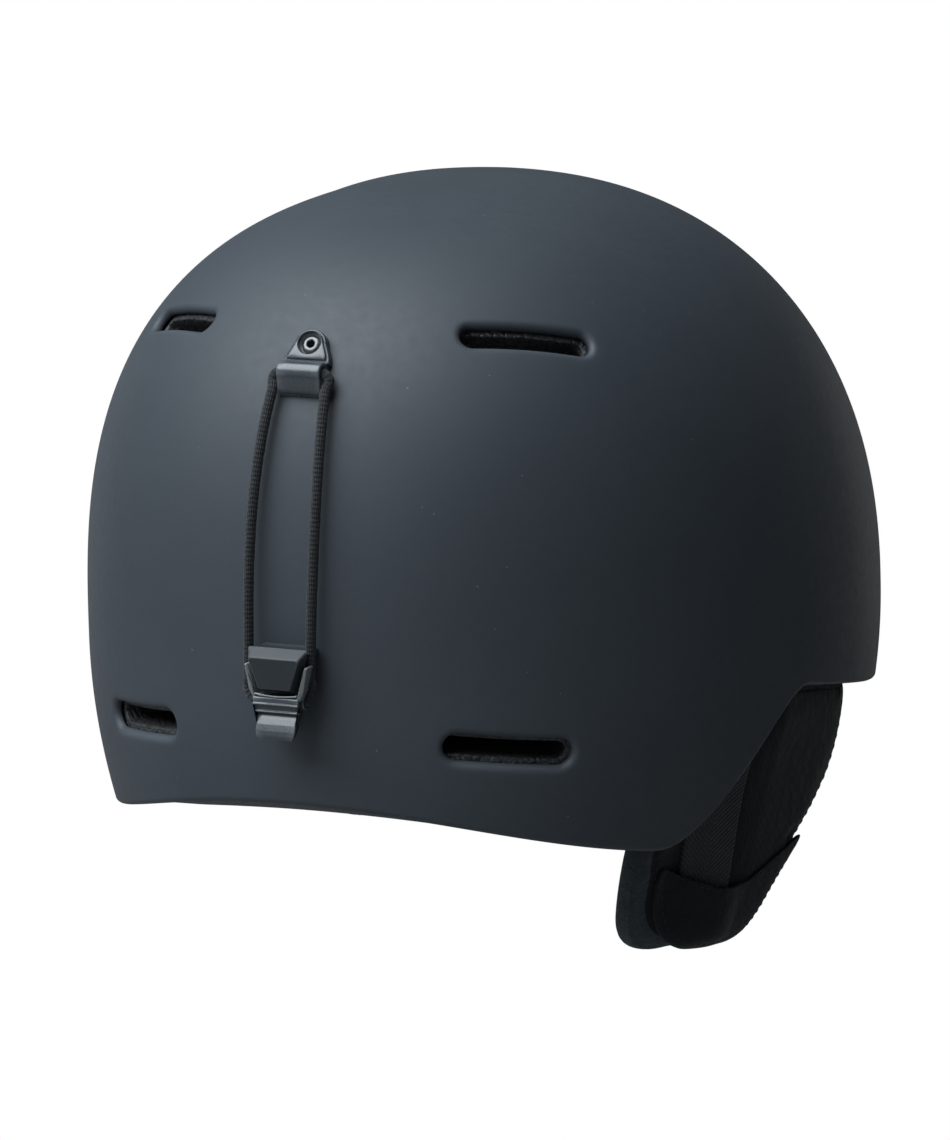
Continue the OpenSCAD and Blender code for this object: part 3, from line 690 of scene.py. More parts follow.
class Bowl:
    """Outer and inner skin, joined by a rounded lower edge and the walls of the slots."""

    def __init__(self, depths, edge_lift, columns, rows, rim_radius):
        self.depths, self.columns, self.rows = depths, columns, rows
        self.bearings = np.arange(columns) * 2 * math.pi / columns
        self.points, self.faces = [], []
        # cell (row, column) lies between that row and column and the next ones
        self.removed = np.zeros((rows, columns), bool)
        share = np.arange(1, rows + 1)[:, None] / rows
        self.levels, self.grids = [], []
        for depth in depths:
            edge = edge_level(self.bearings, depth, edge_lift)
            levels = 1 + (edge[None, :] - 1) * share
            self.levels.append(levels)
            self.grids.append(surface(self.bearings[None, :], levels, depth))
        # pull the last rows up along the surface to make room for the rounding
        outer, inner = (grid[-1].copy() for grid in self.grids)
        along = np.roll(outer, -1, 0) - np.roll(outer, 1, 0)
        down = unit(np.cross(normal(self.bearings, self.levels[0][-1], depths[0]), along))
        down *= np.sign(-down[:, 2:3])
        for grid, edge in zip(self.grids, (outer, inner)):
            grid[-1] = edge - down * rim_radius
            grid[-2] = grid[-2] * 0.5 + 0.5 * (0.5 * (grid[-3] + grid[-1]))
        self.rim = (outer, inner, down * rim_radius)
        self.numbers = [[self.add(row) for row in grid] for grid in self.grids]
        self.poles = self.add([surface(0.0, 1.0, depth) for depth in depths])

    def add(self, points):
        start = len(self.points)
        self.points.extend(points)
        return list(range(start, len(self.points)))

    def join(self, first, second):
        count = len(first)
        for i in range(count):
            j = (i + 1) % count
            self.faces.append((first[i], first[j], second[j], second[i]))

    def cut_slot(self, vent, side, grow, shift, lip, wall_steps, margin):
        """Cuts one slot; lip lists the distance from the slot's wall and the depth."""
        centre, along, up, outward, length, height = vent_frame(vent, side)
        centre, length = centre + side * along * shift, length - 2 * shift
        columns = self.columns
        offset = self.grids[0] - centre
        inside = ((np.linalg.norm(offset, axis=2) < 45)
                  & (np.abs(offset @ along) < length / 2 + margin)
                  & (np.abs(offset @ up) < height / 2 + margin))
        in_rows, in_columns = np.where(inside)
        turn = (math.atan2(-centre[0], centre[1]) % (2 * math.pi)) / (2 * math.pi)
        middle = int(round(turn * columns))
        spread = (in_columns - middle + columns // 2) % columns - columns // 2
        left, right = middle + spread.min() - 1, middle + spread.max() + 1
        top, bottom = in_rows.min() - 1, in_rows.max() + 1
        border = ([(top, i) for i in range(left, right)]
                  + [(j, right) for j in range(top, bottom)]
                  + [(bottom, i) for i in range(right, left, -1)]
                  + [(j, left) for j in range(bottom, top, -1)])
        border = [(j, i % columns) for j, i in border]
        for i in range(left, right):
            self.removed[top:bottom, i % columns] = True
        core = (length - height) / 2
        radius = height / 2 + grow
        near_row = int(np.median(in_rows))
        near_column = (middle + int(np.median(spread))) % columns
        skins = []
        for k, depth in enumerate(self.depths):
            corners = np.array([self.grids[k][j, i] for j, i in border]) - centre
            start = np.stack([corners @ along, corners @ up], 1)
            if k == 0:
                # directions from the nearest point of the slot's core spread the points
                nearest = np.stack([np.clip(start[:, 0], -core, core),
                                    np.zeros(len(start))], 1)
                direction = unit(start - nearest)
            profile = lip if k == 0 else [(0.5, 0.0), (0.12, 0.12)]
            first = nearest + direction * (radius + profile[0][0])
            contours = [(start * (1 - t) + first * t, 0.0) for t in (0.3, 0.62)]
            contours += [(nearest + direction * (radius + away), sink)
                         for away, sink in profile]
            rings = [[self.numbers[k][j][i] for j, i in border]]
            for contour, sink in contours:
                points = onto_surface(centre, along, up, contour, depth,
                                      self.bearings[near_column],
                                      self.levels[k][near_row, near_column])
                rings.append(self.add(points + outward * (-sink if k == 0 else sink)))
            skins.append(rings)
        outer, inner = skins
        outer_end, inner_end = (np.array([self.points[i] for i in rings[-1]])
                                for rings in skins)
        wall = [self.add(outer_end * (1 - step / wall_steps) + inner_end * (step / wall_steps))
                for step in range(1, wall_steps)]
        chain = outer + wall + inner[::-1]
        for ring, after in zip(chain[:-1], chain[1:]):
            self.join(ring, after)

    def close(self):
        """Adds the skins' faces and the rounded edge."""
        columns = self.columns
        for pole, numbers in zip(self.poles, self.numbers):
            for i in range(columns):
                self.faces.append((pole, numbers[0][i], numbers[0][(i + 1) % columns]))
            for j in range(self.rows - 1):
                row, below = numbers[j], numbers[j + 1]
                for i in range(columns):
                    after = (i + 1) % columns
                    if not self.removed[j, i]:
                        self.faces.append((row[i], below[i], below[after], row[after]))
        outer, inner, drop = self.rim
        middle, half = (outer + inner) / 2, (outer - inner) / 2
        rings = [self.numbers[0][-1]]
        for a in np.radians([22, 45, 68, 90, 112, 135, 158]):
            rings.append(self.add(middle - drop + half * math.cos(a) + drop * math.sin(a)))
        rings.append(self.numbers[1][-1])
        for ring, after in zip(rings[:-1], rings[1:]):
            for i in range(columns):
                j = (i + 1) % columns
                self.faces.append((ring[i], after[i], after[j], ring[j]))


def slotted_bowl(bowl, **slot):
    for vent in VENTS:
        for side in (1, -1):
            bowl.cut_slot(vent, side, **slot)
    bowl.close()
    return bowl.points, bowl.faces


SHELL_LIP = [(2.5, 0.0), (2.0, 0.04), (1.5, 0.16), (1.0, 0.40), (0.55, 0.80), (0.22, 1.30),
             (0.04, 1.85), (0.0, 2.2)]
FOAM_LIP = [(0.4, 0.0), (0.1, 0.15), (0.0, 0.5)]

make("shell_skin",
     *slotted_bowl(Bowl((0, SHELL_THICKNESS), edge_lift=0, columns=288, rows=104,
                        rim_radius=1.15),
                   grow=0.0, shift=1.2, lip=SHELL_LIP, wall_steps=2, margin=4.2),
     [SHELL], "shell", "shell_matte", "outer_shell")
make("foam_liner",
     *slotted_bowl(Bowl((FOAM_OUTER, FOAM_INNER), edge_lift=1.5, columns=168, rows=60,
                        rim_radius=2.2),
                   grow=-1.3, shift=0.0, lip=FOAM_LIP, wall_steps=8, margin=4.0),
     [FOAM], "shell", "foam", "eps_liner")


# ---------------------------------------------------------------- cloth
def read_vectors(vertices, name):
    values = np.zeros(len(vertices) * 3)
    vertices.foreach_get(name, values)
    return values.reshape(-1, 3)


def puff(obj, voxel, outward, inward, sideways=0.0015, pressure=4.0, frames=20):
    """Inflates a coarse copy as cloth and moves the fine mesh with it, within limits (m)."""
    sim = bpy.data.objects.new("sim_" + obj.name, obj.data.copy())
    SCENE.collection.objects.link(sim)
    remesh = sim.modifiers.new("r", "REMESH")
    remesh.mode = "VOXEL"
    remesh.voxel_size = voxel
    graph = bpy.context.evaluated_depsgraph_get()
    coarse = bpy.data.meshes.new_from_object(sim.evaluated_get(graph))
    sim.modifiers.clear()
    sim.data = coarse
    rest = read_vectors(coarse.vertices, "co")
    cloth = sim.modifiers.new("c", "CLOTH")
    settings = cloth.settings
    settings.quality = 6
    settings.mass = 0.15
    settings.tension_stiffness = 12
    settings.compression_stiffness = 12
    settings.shear_stiffness = 6
    settings.bending_stiffness = 0.4
    settings.use_pressure = True
    settings.uniform_pressure_force = pressure
    settings.shrink_min = -0.035
    settings.effector_weights.gravity = 0
    cloth.collision_settings.use_collision = False
    cloth.point_cache.frame_start = 1
    cloth.point_cache.frame_end = frames
    for number in range(1, frames + 1):
        SCENE.frame_set(number)
    graph = bpy.context.evaluated_depsgraph_get()
    move = read_vectors(sim.evaluated_get(graph).to_mesh().vertices, "co") - rest
    move[~np.isfinite(move).all(1)] = 0
    tree = KDTree(len(rest))
    for i, point in enumerate(rest):
        tree.insert(point, i)
    tree.balance()
    fine = read_vectors(obj.data.vertices, "co")
    normals = read_vectors(obj.data.vertices, "normal")
    shift = np.zeros_like(fine)
    for i, point in enumerate(fine):
        hits = tree.find_n(point, 6)
        weights = np.array([1 / (hit[2] + 0.0006) ** 2 for hit in hits])
        near = move[[hit[1] for hit in hits]]
        shift[i] = (weights[:, None] * near).sum(0) / weights.sum()
    along = (shift * normals).sum(1)
    slide = shift - along[:, None] * normals
    lengths = np.linalg.norm(slide, axis=1)
    slide *= np.minimum(1, sideways / np.maximum(lengths, 1e-9))[:, None]
    along = np.clip(along - np.median(along), -inward, outward)
    obj.data.vertices.foreach_set("co", (fine + along[:, None] * normals + slide).ravel())
    obj.data.update()
    bpy.data.objects.remove(sim)
    SCENE.frame_set(1)


# ---------------------------------------------------------------- comfort pads
# A profile lists a ring's share of the outline and its share of the half thickness,
# from the middle of the face against the liner (-1) round to the face inside (1).
def edge_arc(inner, height, degrees, power=1):
    return [(inner + (1 - inner) * math.cos(math.radians(a)) ** power,
             height * math.sin(math.radians(a))) for a in degrees]


def cushion_profile(back, rounding, below, seam, above, front):
    return ([(share, -0.98) for share in back]
            + edge_arc(rounding, 0.98, below) + seam + edge_arc(rounding, 0.98, above)
            + [(share, 0.9 + 0.1 * (1 - share * share)) for share in front])


def cushion(name, node, profile, place, channels, seam_side=0.0):
    """Puffed cushion with piping.

    place(share, depth) gives a ring of points, channels(share) how far it sinks.
    """
    half = CUSHION_THICKNESS / 2
    rings = []
    for share, side in profile:
        sink = channels(share) if side > 0.85 else 0
        rings.append(place(share, CUSHION_DEPTH - (side - sink) * half))
    centres = [place(0, CUSHION_DEPTH + 0.98 * half)[0],
               place(0, CUSHION_DEPTH - (1 - channels(0)) * half)[0]]
    piece = Piece()
    piece.add(np.concatenate(rings + [centres]), fan_faces(len(rings), len(rings[0])))
    pad = piece.finish(name, [COMFORT], "shell", "comfort_fabric", node)
    puff(pad, voxel=0.0045, outward=0.0003, inward=0.0012)
    piping = Piece()
    round_tube(piping, place(0.992, CUSHION_DEPTH + seam_side * half), 0.75, 8, loop=True)
    piping.finish(name + "_piping", [STRETCH], "shell", "comfort_fabric")


LINING_PROFILE = cushion_profile(
    back=(0.12, 0.3, 0.5, 0.7, 0.84), rounding=0.90, below=(-68, -48, -30, -16),
    seam=[(0.995, -0.12), (0.972, -0.02), (0.995, 0.08)], above=(14, 30, 48, 66),
    front=(0.88, 0.80, 0.72, 0.62, 0.5, 0.38, 0.25, 0.12))
CROWN_PROFILE = cushion_profile(
    back=(0.1, 0.3, 0.5, 0.7, 0.86), rounding=0.93, below=(-66, -45, -25, -10),
    seam=[(0.985, 0.0)], above=(10, 25, 45, 66),
    front=(0.9, 0.84, 0.76, 0.68, 0.6, 0.52, 0.44, 0.36, 0.28, 0.2, 0.1))


def lining_pad(name, bearing, level, half_angle, half_level, node):
    """Rounded oblong pad with channels across it; angles in degrees."""
    middle, reach = math.radians(bearing), math.radians(half_angle)
    short = half_angle < 30
    width = 0.0336      # of a channel, in radians
    a = np.arange(96) * 2 * math.pi / 96
    dx = reach * np.abs(np.cos(a)) ** 0.6 * np.sign(np.cos(a))
    dy = half_level * np.abs(np.sin(a)) ** 0.7 * np.sign(np.sin(a))

    def place(share, depth):
        return surface(middle + dx * share, level + dy * share, depth)

    def channels(share):
        x = dx * share
        lateral = reach * (0.45 if short else 0.5)
        sink = np.exp(-((np.abs(x) - lateral) / width) ** 2) * 0.34
        if short:
            sink = sink + np.exp(-(x / width) ** 2) * 0.30
        return sink

    cushion(name, node, LINING_PROFILE, place, channels, seam_side=0.02)


def crown_pad():
    """Four-lobed pad under the crown with one round channel."""
    a = np.arange(120) * 2 * math.pi / 120
    reach = 0.27 + 0.06 * np.cos(4 * a)
    cushion("crown_cushion", "crown_pad", CROWN_PROFILE,
            lambda share, depth: surface(a, 1 - reach * share, depth),
            lambda share: 0.35 * math.exp(-((share - 0.44) / 0.05) ** 2))


lining_pad("brow_cushion", 180, -0.24, 46, 0.125, "brow_pad")
lining_pad("nape_cushion", 0, -0.04, 40, 0.13, "nape_pad")
lining_pad("side_cushion_right", 92, 0.1, 24, 0.13, "side_pad_right")
lining_pad("side_cushion_left", 268, 0.1, 24, 0.13, "side_pad_left")
crown_pad()


# ---------------------------------------------------------------- ear pads
def to_left(points):
    """The wearer's left side: mirrored, then folded in about its hinge."""
    points = np.array(points, float)
    x, z = -points[:, 0] - HINGE_X, points[:, 2] - HINGE_Z
    c, s = math.cos(FOLD), math.sin(FOLD)
    return np.stack([HINGE_X + x * c + z * s, points[:, 1], HINGE_Z - x * s + z * c], 1)


PLACES = {"right": as_drawn, "left": to_left}


def cut_corners(points, times):
    points = np.asarray(points, float)
    for _ in range(times):
        after = np.roll(points, -1, 0)
        points = np.stack([points * 0.75 + after * 0.25, points * 0.25 + after * 0.75], 1)
        points = points.reshape(-1, 2)
    return points


# Outlines before their corners are cut: y, z
PAD_POINTS = [
    (-47, 47.5), (-42, 47.5), (-10, 47.5), (15, 45.5), (27, 37), (41, 18), (51.5, 2),
    (47.5, -13.5), (40.2, -27), (29, -33), (16, -30.5), (-2, -30), (-10, -25), (-18, -13),
    (-30, 1), (-41, 14), (-47, 30)]
BAND_POINTS = [
    (40.5, -6), (34, -9), (22, -12.5), (8, -12.5), (-4, -10), (-14, -5), (-25, 2.3),
    (-26.8, 0), (-17.8, -12.6), (-9.8, -24), (-2, -28.8), (16, -29.4), (27.2, -29),
    (35, -24), (40.5, -13.5)]
PAD_OUTLINE = cut_corners(PAD_POINTS, 4)
PAD_MIDDLE = cut_corners(PAD_POINTS, 2).mean(0)
# Turn of the outer face towards the border: share of the outline, share of the half thickness
FACE_TURN = [(0, 0.97), (0.80, 0.965), (0.86, 0.93), (0.905, 0.87), (0.938, 0.78),
             (0.962, 0.67), (0.985, 0.50), (1.0, 0.25), (1.02, 0.0)]


def pad_x(y, z):
    """Distance of the pad's middle layer from the helmet's centre plane."""
    rise = (z + PAD_FOOT) / PAD_RISE
    return (71 + 18 * rise - 10 * smooth(y / 40)
            + np.where(y < 5, 0.14 * (5 - y) * (1 - rise ** 2), 0))


def pad_half(y, z):
    """Half the pad's thickness."""
    return ((PAD_THICKNESS / 2 - 2 * (z + PAD_FOOT) / PAD_RISE)
            * (1 - 0.3 * smooth((y - 8) / 34)))


def pad_share(y, z):
    """How far out a point lies, from 0 at the pad's middle to 1 at its border."""
    offset = PAD_OUTLINE - PAD_MIDDLE
    angles = np.arctan2(offset[:, 1], offset[:, 0])
    order = np.argsort(angles)
    angles, radii = angles[order], np.linalg.norm(offset, axis=1)[order]
    angles = np.concatenate([angles - 2 * math.pi, angles, angles + 2 * math.pi])
    dy, dz = y - PAD_MIDDLE[0], z - PAD_MIDDLE[1]
    return np.hypot(dy, dz) / np.interp(np.arctan2(dz, dy), angles, np.tile(radii, 3))


def pad_face(y, z):
    """Distance of the outer face from the centre plane."""
    return pad_x(y, z) + pad_half(y, z) * np.interp(pad_share(y, z), *zip(*FACE_TURN))


def pad_outward(y, z):
    dy = np.clip((pad_face(y + 1.0, z) - pad_face(y - 1.0, z)) / 2, -1.6, 1.6)
    dz = np.clip((pad_face(y, z + 1.0) - pad_face(y, z - 1.0)) / 2, -1.6, 1.6)
    return unit(np.stack([-np.ones_like(dy), -dy, -dz], -1))


def on_pad(y, z, lift):
    """Points lifted over the pad's outer face."""
    face = np.stack([-pad_face(y, z), y, z], -1)
    return face + pad_outward(y, z) * np.asarray(lift)[..., None]


def pad_ring(share, at_seam=True):
    """Scaled outline in y, z; at the seam it lies further in towards the rear."""
    if at_seam:
        rearward = smooth((PAD_OUTLINE[:, 0] - 8) / 22)
        near_seam = math.exp(-((share - 0.90) / 0.07) ** 2)
        share = (share - 0.055 * rearward * near_seam)[:, None]
    return PAD_MIDDLE + (PAD_OUTLINE - PAD_MIDDLE) * share


# Profiles as for the cushions, from the inner face (-1) to the outer face (1)
FLEECE_PROFILE = [(share, -0.97 - 0.03 * (1 - share * share))
                  for share in (0.08, 0.2, 0.34, 0.48, 0.62, 0.74, 0.82)]
FLEECE_PROFILE += edge_arc(0.86, 0.97, (-70, -56, -43, -31, -20, -10, 0, 10, 19), power=0.8)
FLEECE_PROFILE += [(0.978, 0.44), (0.962, 0.66), (0.934, 0.79)]
STRETCH_PROFILE = [(0.908, 0.79), (0.902, 0.865), (0.86, 0.925)]
STRETCH_PROFILE += [(share, 0.955 + 0.035 * (1 - share * share))
                    for share in (0.81, 0.75, 0.67, 0.58, 0.48, 0.37, 0.26, 0.15, 0.07)]


def ear_pad(side):
    """Fleece wraps the inside and the edge, stretch cloth the outside."""
    name, body, place = "ear_cushion_" + side, "ear_" + side, PLACES[side]
    count = len(PAD_OUTLINE)
    profile = FLEECE_PROFILE + STRETCH_PROFILE
    rings = []
    for share, layer in profile:
        y, z = pad_ring(share, layer > 0.4).T
        dent = 0.0
        if layer > 0.9:     # soft dents on the outer face
            dent = 0.35 * np.sin(y / 9.0 + z / 14.0) * np.exp(-((z - 5) / 26) ** 2)
        x = -(pad_x(y, z) + (layer * pad_half(y, z)) * 0.985 - dent * 0.6)
        rings.append(np.stack([x, y, z], 1))
    centres = [(-(pad_x(*PAD_MIDDLE) + layer * pad_half(*PAD_MIDDLE)), *PAD_MIDDLE)
               for layer in (-1, 0.975)]
    indices = [0] * count * (len(FLEECE_PROFILE) - 1) + [1] * count * len(STRETCH_PROFILE)
    indices += [0] * count + [1] * count
    pad = make(name, place(np.concatenate(rings + [centres])), fan_faces(len(rings), count),
               [FLEECE, STRETCH], body, "pad_fleece", "ear_pad_" + side, indices=indices)
    puff(pad, voxel=0.0042, outward=0.0006, inward=0.0005, sideways=0.0002, pressure=5.0)

    # thread down the seam, laid on the puffed surface
    y, z = pad_ring(0.897).T
    path = np.stack([-(pad_x(y, z) + 0.885 * pad_half(y, z)), y, z], 1)
    radial = PAD_OUTLINE - PAD_MIDDLE
    radial = unit(np.stack([path[:, 0] * 0, radial[:, 0], radial[:, 1]], 1))
    outward = unit(radial * 0.55 + np.array([-0.85, 0, 0]))
    ends = place(path + outward)
    path = place(path)
    outward = ends - path
    tree = BVHTree.FromPolygons([vertex.co.copy() for vertex in pad.data.vertices],
                                [tuple(face.vertices) for face in pad.data.polygons])
    path = np.array([np.array(tree.find_nearest(Vector(p) * MM)[0]) / MM for p in path])
    thread = Piece()
    stitches(thread, closed(path), closed(outward), pitch=3.2, length=2.2, radius=0.18,
             lift=-0.02)
    thread.finish(name + "_stitching", [THREAD], body, "pad_fleece")


def strap_line():
    """The side strap's line down the pad: y, z."""
    z = np.linspace(33, -23, 30)
    return 24 - 4 * smooth((20 - z) / 44), z


# Share of the band's outline, side of its thickness
BAND_PROFILE = [
    (0.1, -1), (0.3, -1), (0.5, -1), (0.7, -1), (0.84, -1), (0.93, -0.95), (0.975, -0.7),
    (0.995, -0.3), (1.0, 0.1), (0.997, 0.5), (0.985, 0.85), (0.965, 1.0), (0.93, 1.02),
    (0.90, 0.92), (0.86, 1.0), (0.78, 1), (0.66, 1), (0.52, 1), (0.38, 1), (0.24, 1), (0.1, 1)]


def ear_band(side):
    """Cloth band that lies on the pad and lifts over the strap."""
    name, body, place = "ear_sleeve_" + side, "ear_" + side, PLACES[side]
    outline = cut_corners(BAND_POINTS, 4)
    middle = cut_corners(BAND_POINTS, 2).mean(0)
    strap_y, strap_z = strap_line()
    half = 0.55     # half its thickness

    def ring(share, layer):
        y, z = (middle + (outline - middle) * share).T
        bulge = np.exp(-((y - np.interp(-z, -strap_z, strap_y)) / 13.5) ** 4)
        room = np.clip((1.0 - pad_share(y, z)) / 0.12, 0, 1)
        rise = 0.35 + (WEB_THICKNESS + 0.95) * bulge * room
        return on_pad(y, z, rise + 0.65 + layer * half)

    rings = [ring(share, layer) for share, layer in BAND_PROFILE]
    centres = [ring(0, layer)[0] for layer in (-1, 1)]
    make(name, place(np.concatenate(rings + [centres])), fan_faces(len(rings), len(outline)),
         [STRETCH], body, "stretch_fabric", "ear_band_" + side)
    thread = Piece()
    y, z = (middle + (outline - middle) * 0.90).T
    stitches(thread, closed(ring(0.90, 0.92)), closed(pad_outward(y, z)), pitch=2.6,
             length=1.8, radius=0.17, lift=0.0)
    thread.finish(name + "_stitching", [THREAD], body, "stretch_fabric", place=place)


def side_strap(side):
    """From the anchor inside the liner down over the pad; bends where the pad flexes."""
    place, sign = PLACES[side], (1 if side == "left" else -1)
    y, z = strap_line()
    low = place(on_pad(y, z, np.full(len(y), 0.5 + WEB_THICKNESS / 2)))
    low_out = unit(place(on_pad(y, z, np.full(len(y), 5.0)))
                   - place(on_pad(y, z, np.zeros(len(y)))))
    top = np.array([[sign * 97, 22, 55.5], [sign * 97, 22, 53.2],
                    [sign * 96.9, 22, 50.5], [sign * 96.2, 22.1, 47.5]])
    top_out = np.tile([sign * 1.0, 0, 0], (4, 1))
    # smooth passage from the anchor to the pad
    start, end = top[-1], low[0]
    leave, arrive = unit(top[-1] - top[-2]), unit(low[1] - low[0])
    span = np.linalg.norm(end - start)
    t = np.linspace(0, 1, 9)[1:-1][:, None]
    passage = ((2 * t ** 3 - 3 * t ** 2 + 1) * start
               + (t ** 3 - 2 * t ** 2 + t) * span * leave
               + (-2 * t ** 3 + 3 * t ** 2) * end
               + (t ** 3 - t ** 2) * span * arrive)
    passage_out = unit((1 - t) * top_out[-1] + t * low_out[0])
    path = np.vstack([top, passage, low])
    outward = np.vstack([top_out, passage_out, low_out])
    piece = Piece()
    webbing(piece, path, outward, WEB_WIDTH)
    for k in (6, 8):    # two rows of thread across the passage
        across = unit(np.cross(outward[k], path[k + 1] - path[k]))
        row = [path[k] + outward[k] * WEB_THICKNESS / 2 * 0.9 + across * w
               for w in np.linspace(-8, 8, 9)]
        stitches(piece, row, outward[k], pitch=1.3, length=1.0, radius=0.2, index=1)
    strap = piece.finish("side_webbing_" + side, [WEBBING, THREAD], None, "webbing",
                         "side_strap_" + side)
    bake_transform(strap)


for side in ("right", "left"):
    ear_pad(side)
    ear_band(side)
    side_strap(side)


# ---------------------------------------------------------------- chin strap
# Lines of thread: distance along the strap, height across it
CROSSED_BOX = [(7.6, 8), (26, 8), (26, -8), (7.6, -8), (7.6, 8), (26, -8), (26, 8), (7.6, -8)]
NARROW_BOX = [(7.6, 8), (10.4, 8), (10.4, -8), (7.6, -8), (7.6, 8)]


def strap_at(along, up, out=0.0):
    """Point on a strap half: along it towards the front, up across it, out outwards."""
    return np.array([RIVET_X - out, RIVET_Y - along, RIVET_Z + up])


def chin_web(side, length, seam):
    """One half of the strap, with a round end behind the rivet."""
    along = np.concatenate([[-9.95, -9.6, -9.0, -8.0, -6.5, -4.5, -2.2],
                            np.arange(0, length, 2.0), [length]])
    rounding = np.sqrt(np.maximum(0.0025, 1 - (along / (WEB_WIDTH / 2)) ** 2))
    width = np.where(along < 0, WEB_WIDTH * rounding, WEB_WIDTH)
    piece = Piece()
    webbing(piece, [strap_at(a, 0) for a in along], (-1, 0, 0), width)
    for face in (1, -1):
        points = [strap_at(a, up, face * WEB_THICKNESS / 2 * 0.92) for a, up in seam]
        for p, q in zip(points[:-1], points[1:]):
            stitches(piece, [p, p * 0.5 + q * 0.5, q], (-face, 0, 0), pitch=2.4, length=1.7,
                     radius=0.2, index=1)
    piece.finish("chin_webbing_" + side, [WEBBING, THREAD], "strap_" + side, "webbing",
                 "chin_web_" + side, PLACES[side])


def chin_sleeve():
    """Padded sleeve on the left strap, from 30 to 60 mm along it."""
    count = 56
    a = np.arange(count) * 2 * math.pi / count
    across = np.abs(np.cos(a)) ** 0.45 * np.sign(np.cos(a))
    out = np.abs(np.sin(a)) ** 0.75 * np.sign(np.sin(a))
    slot_half, slot_width = 1.15, 10.6      # half sizes of the slot for the strap
    half, width = 3.85, 13.4                # half sizes of the sleeve
    seams = (37.5, 45, 52.5)
    # distance along the strap, fullness from the slot (0) to the full outline (1)
    stations = [(30.9, 0.35), (30.2, 0.6), (30.0, 0.75), (30.4, 0.88), (31.4, 0.96), (33, 1.0)]
    stations += [(s, 1.0 - sum(0.10 * math.exp(-((s - seam) / 0.8) ** 2) for seam in seams))
                 for s in np.arange(35, 56, 1.5)]
    stations += [(57, 1.0), (58.6, 0.96), (59.6, 0.88), (60.0, 0.75), (59.8, 0.6), (59.1, 0.35)]
    stations += [(s, 0) for s in (58.5, 52, 45, 38, 31.5)]      # back through the slot
    rings = []
    for s, full in stations:
        x = out * (slot_half + (half - slot_half) * full)
        z = across * (slot_width + (width - slot_width) * full)
        rings.append(np.stack([RIVET_X + x, np.full(count, RIVET_Y - s), RIVET_Z + z], 1))
    make("chin_cushion", to_left(np.concatenate(rings)),
         tube_faces(len(rings), count, loop=True), [COMFORT], "sleeve", "comfort_fabric",
         "chin_pad")
    thread = Piece()
    for face in (1, -1):
        for seam in seams:
            row = [strap_at(seam, w, face * (half * 0.93)) for w in np.linspace(-9.5, 9.5, 9)]
            stitches(thread, row, (-face, 0, 0), pitch=2.2, length=1.6, radius=0.17)
    thread.finish("chin_cushion_stitching", [THREAD], "sleeve", "comfort_fabric",
                  place=to_left)


chin_web("right", 37.0, CROSSED_BOX)
chin_web("left", 84.5, NARROW_BOX)
chin_sleeve()


# ---------------------------------------------------------------- elastic cord
def cord_path(top, low):
    """Middle line of the loop, from the bracket's barrel (top) to the pull tab (low)."""
    top_bend, low_bend = 2.4, 3.6
    _, top_y, top_z = top
    _, low_y, low_z = low
    bend_angles = np.radians((22, 45, 68, 90))
    half = [(x, top_y, top_z) for x in (0, 1.5, 3, 4.5, 6)]
    half += [(6 + top_bend * math.sin(a), top_y, top_z - top_bend * (1 - math.cos(a)))
             for a in bend_angles]
    for i in range(1, 36):
        q = i / 36
        z = top_z - top_bend + (low_z + low_bend - top_z + top_bend) * q
        x = 8.0 + 2.2 * q + 0.9 * math.sin(math.pi * q) - 0.4 * (1 - q) ** 4
        over_shell = rear_y(z) + 3 + 2.6 * q * q - x * x / 260
        half.append((x, max(over_shell, top_y * (1 - q) + low_y * q - 0.3), z))
    half += [(7 + low_bend * math.sin(a), low_y, low_z + low_bend * (1 - math.cos(a)))
             for a in bend_angles[::-1]]
    half += [(x, low_y, low_z) for x in (7, 5.6, 4.2, 2.8, 1.4, 0)]
    half = np.array(half)
    # the other half lies a little closer in towards its foot
    other = half.copy()
    x = half[:, 0]
    q = np.clip((top_z - top_bend - half[:, 2]) / (top_z - low_z - (top_bend + low_bend)), 0, 1)
    other[:, 0] = -(x - np.where(x > 7.0, np.minimum(2.2 * smooth(q), x - 7.0), 0))
    return np.vstack([half, other[-2:0:-1]])


def cord():
    """Braided loop through the bracket and the pull tab."""
    top = np.array(rear_frame(BRACKET_Z) @ Vector((0, BARREL_Y, BARREL_Z)))
    low = np.array(rear_frame(CATCH_Z) @ Vector((0, CORD_Y, CORD_Z)))
    path = closed(cord_path(top, low))
    count, sides = 620, 24
    reached = distances(path)
    at = np.arange(count) * reached[-1] / count
    line = interpolate(at, reached, path)
    for _ in range(6):
        line = (np.roll(line, 1, 0) + 2 * line + np.roll(line, -1, 0)) / 4
    piece = Piece()
    round_tube(piece, line, 1.43, sides, loop=True)
    # braid relief: four strands each way, 3 mm long
    centres = np.repeat(line, sides, axis=0)
    around = np.array(piece.uvs)[:, 0] * 2 * math.pi * 4
    along = np.repeat(at, sides) * 2 * math.pi / 3.0
    first, second = np.sin(around + along), np.sin(around - along)
    relief = np.maximum(np.abs(first) ** 0.7 * (second > 0),
                        np.abs(second) ** 0.7 * (second <= 0))
    radial = np.array(piece.vertices) - centres
    piece.vertices = centres + radial * (1 + 0.055 * (relief[:, None] - 0.5))
    loop = piece.finish("elastic_cord", [CORD], None, "cord", "goggle_cord")
    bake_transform(loop)


cord()


# ---------------------------------------------------------------- goggle retainer's hard pieces
def placed_by(matrix):
    axes = np.array(matrix, float)
    return lambda points: np.array(points, float) @ axes[:3, :3].T + axes[:3, 3]


def at_y(outline, y):
    """Ring at y from an outline in x, z."""
    return np.stack([outline[:, 0], np.full(len(outline), y), outline[:, 1]], 1)


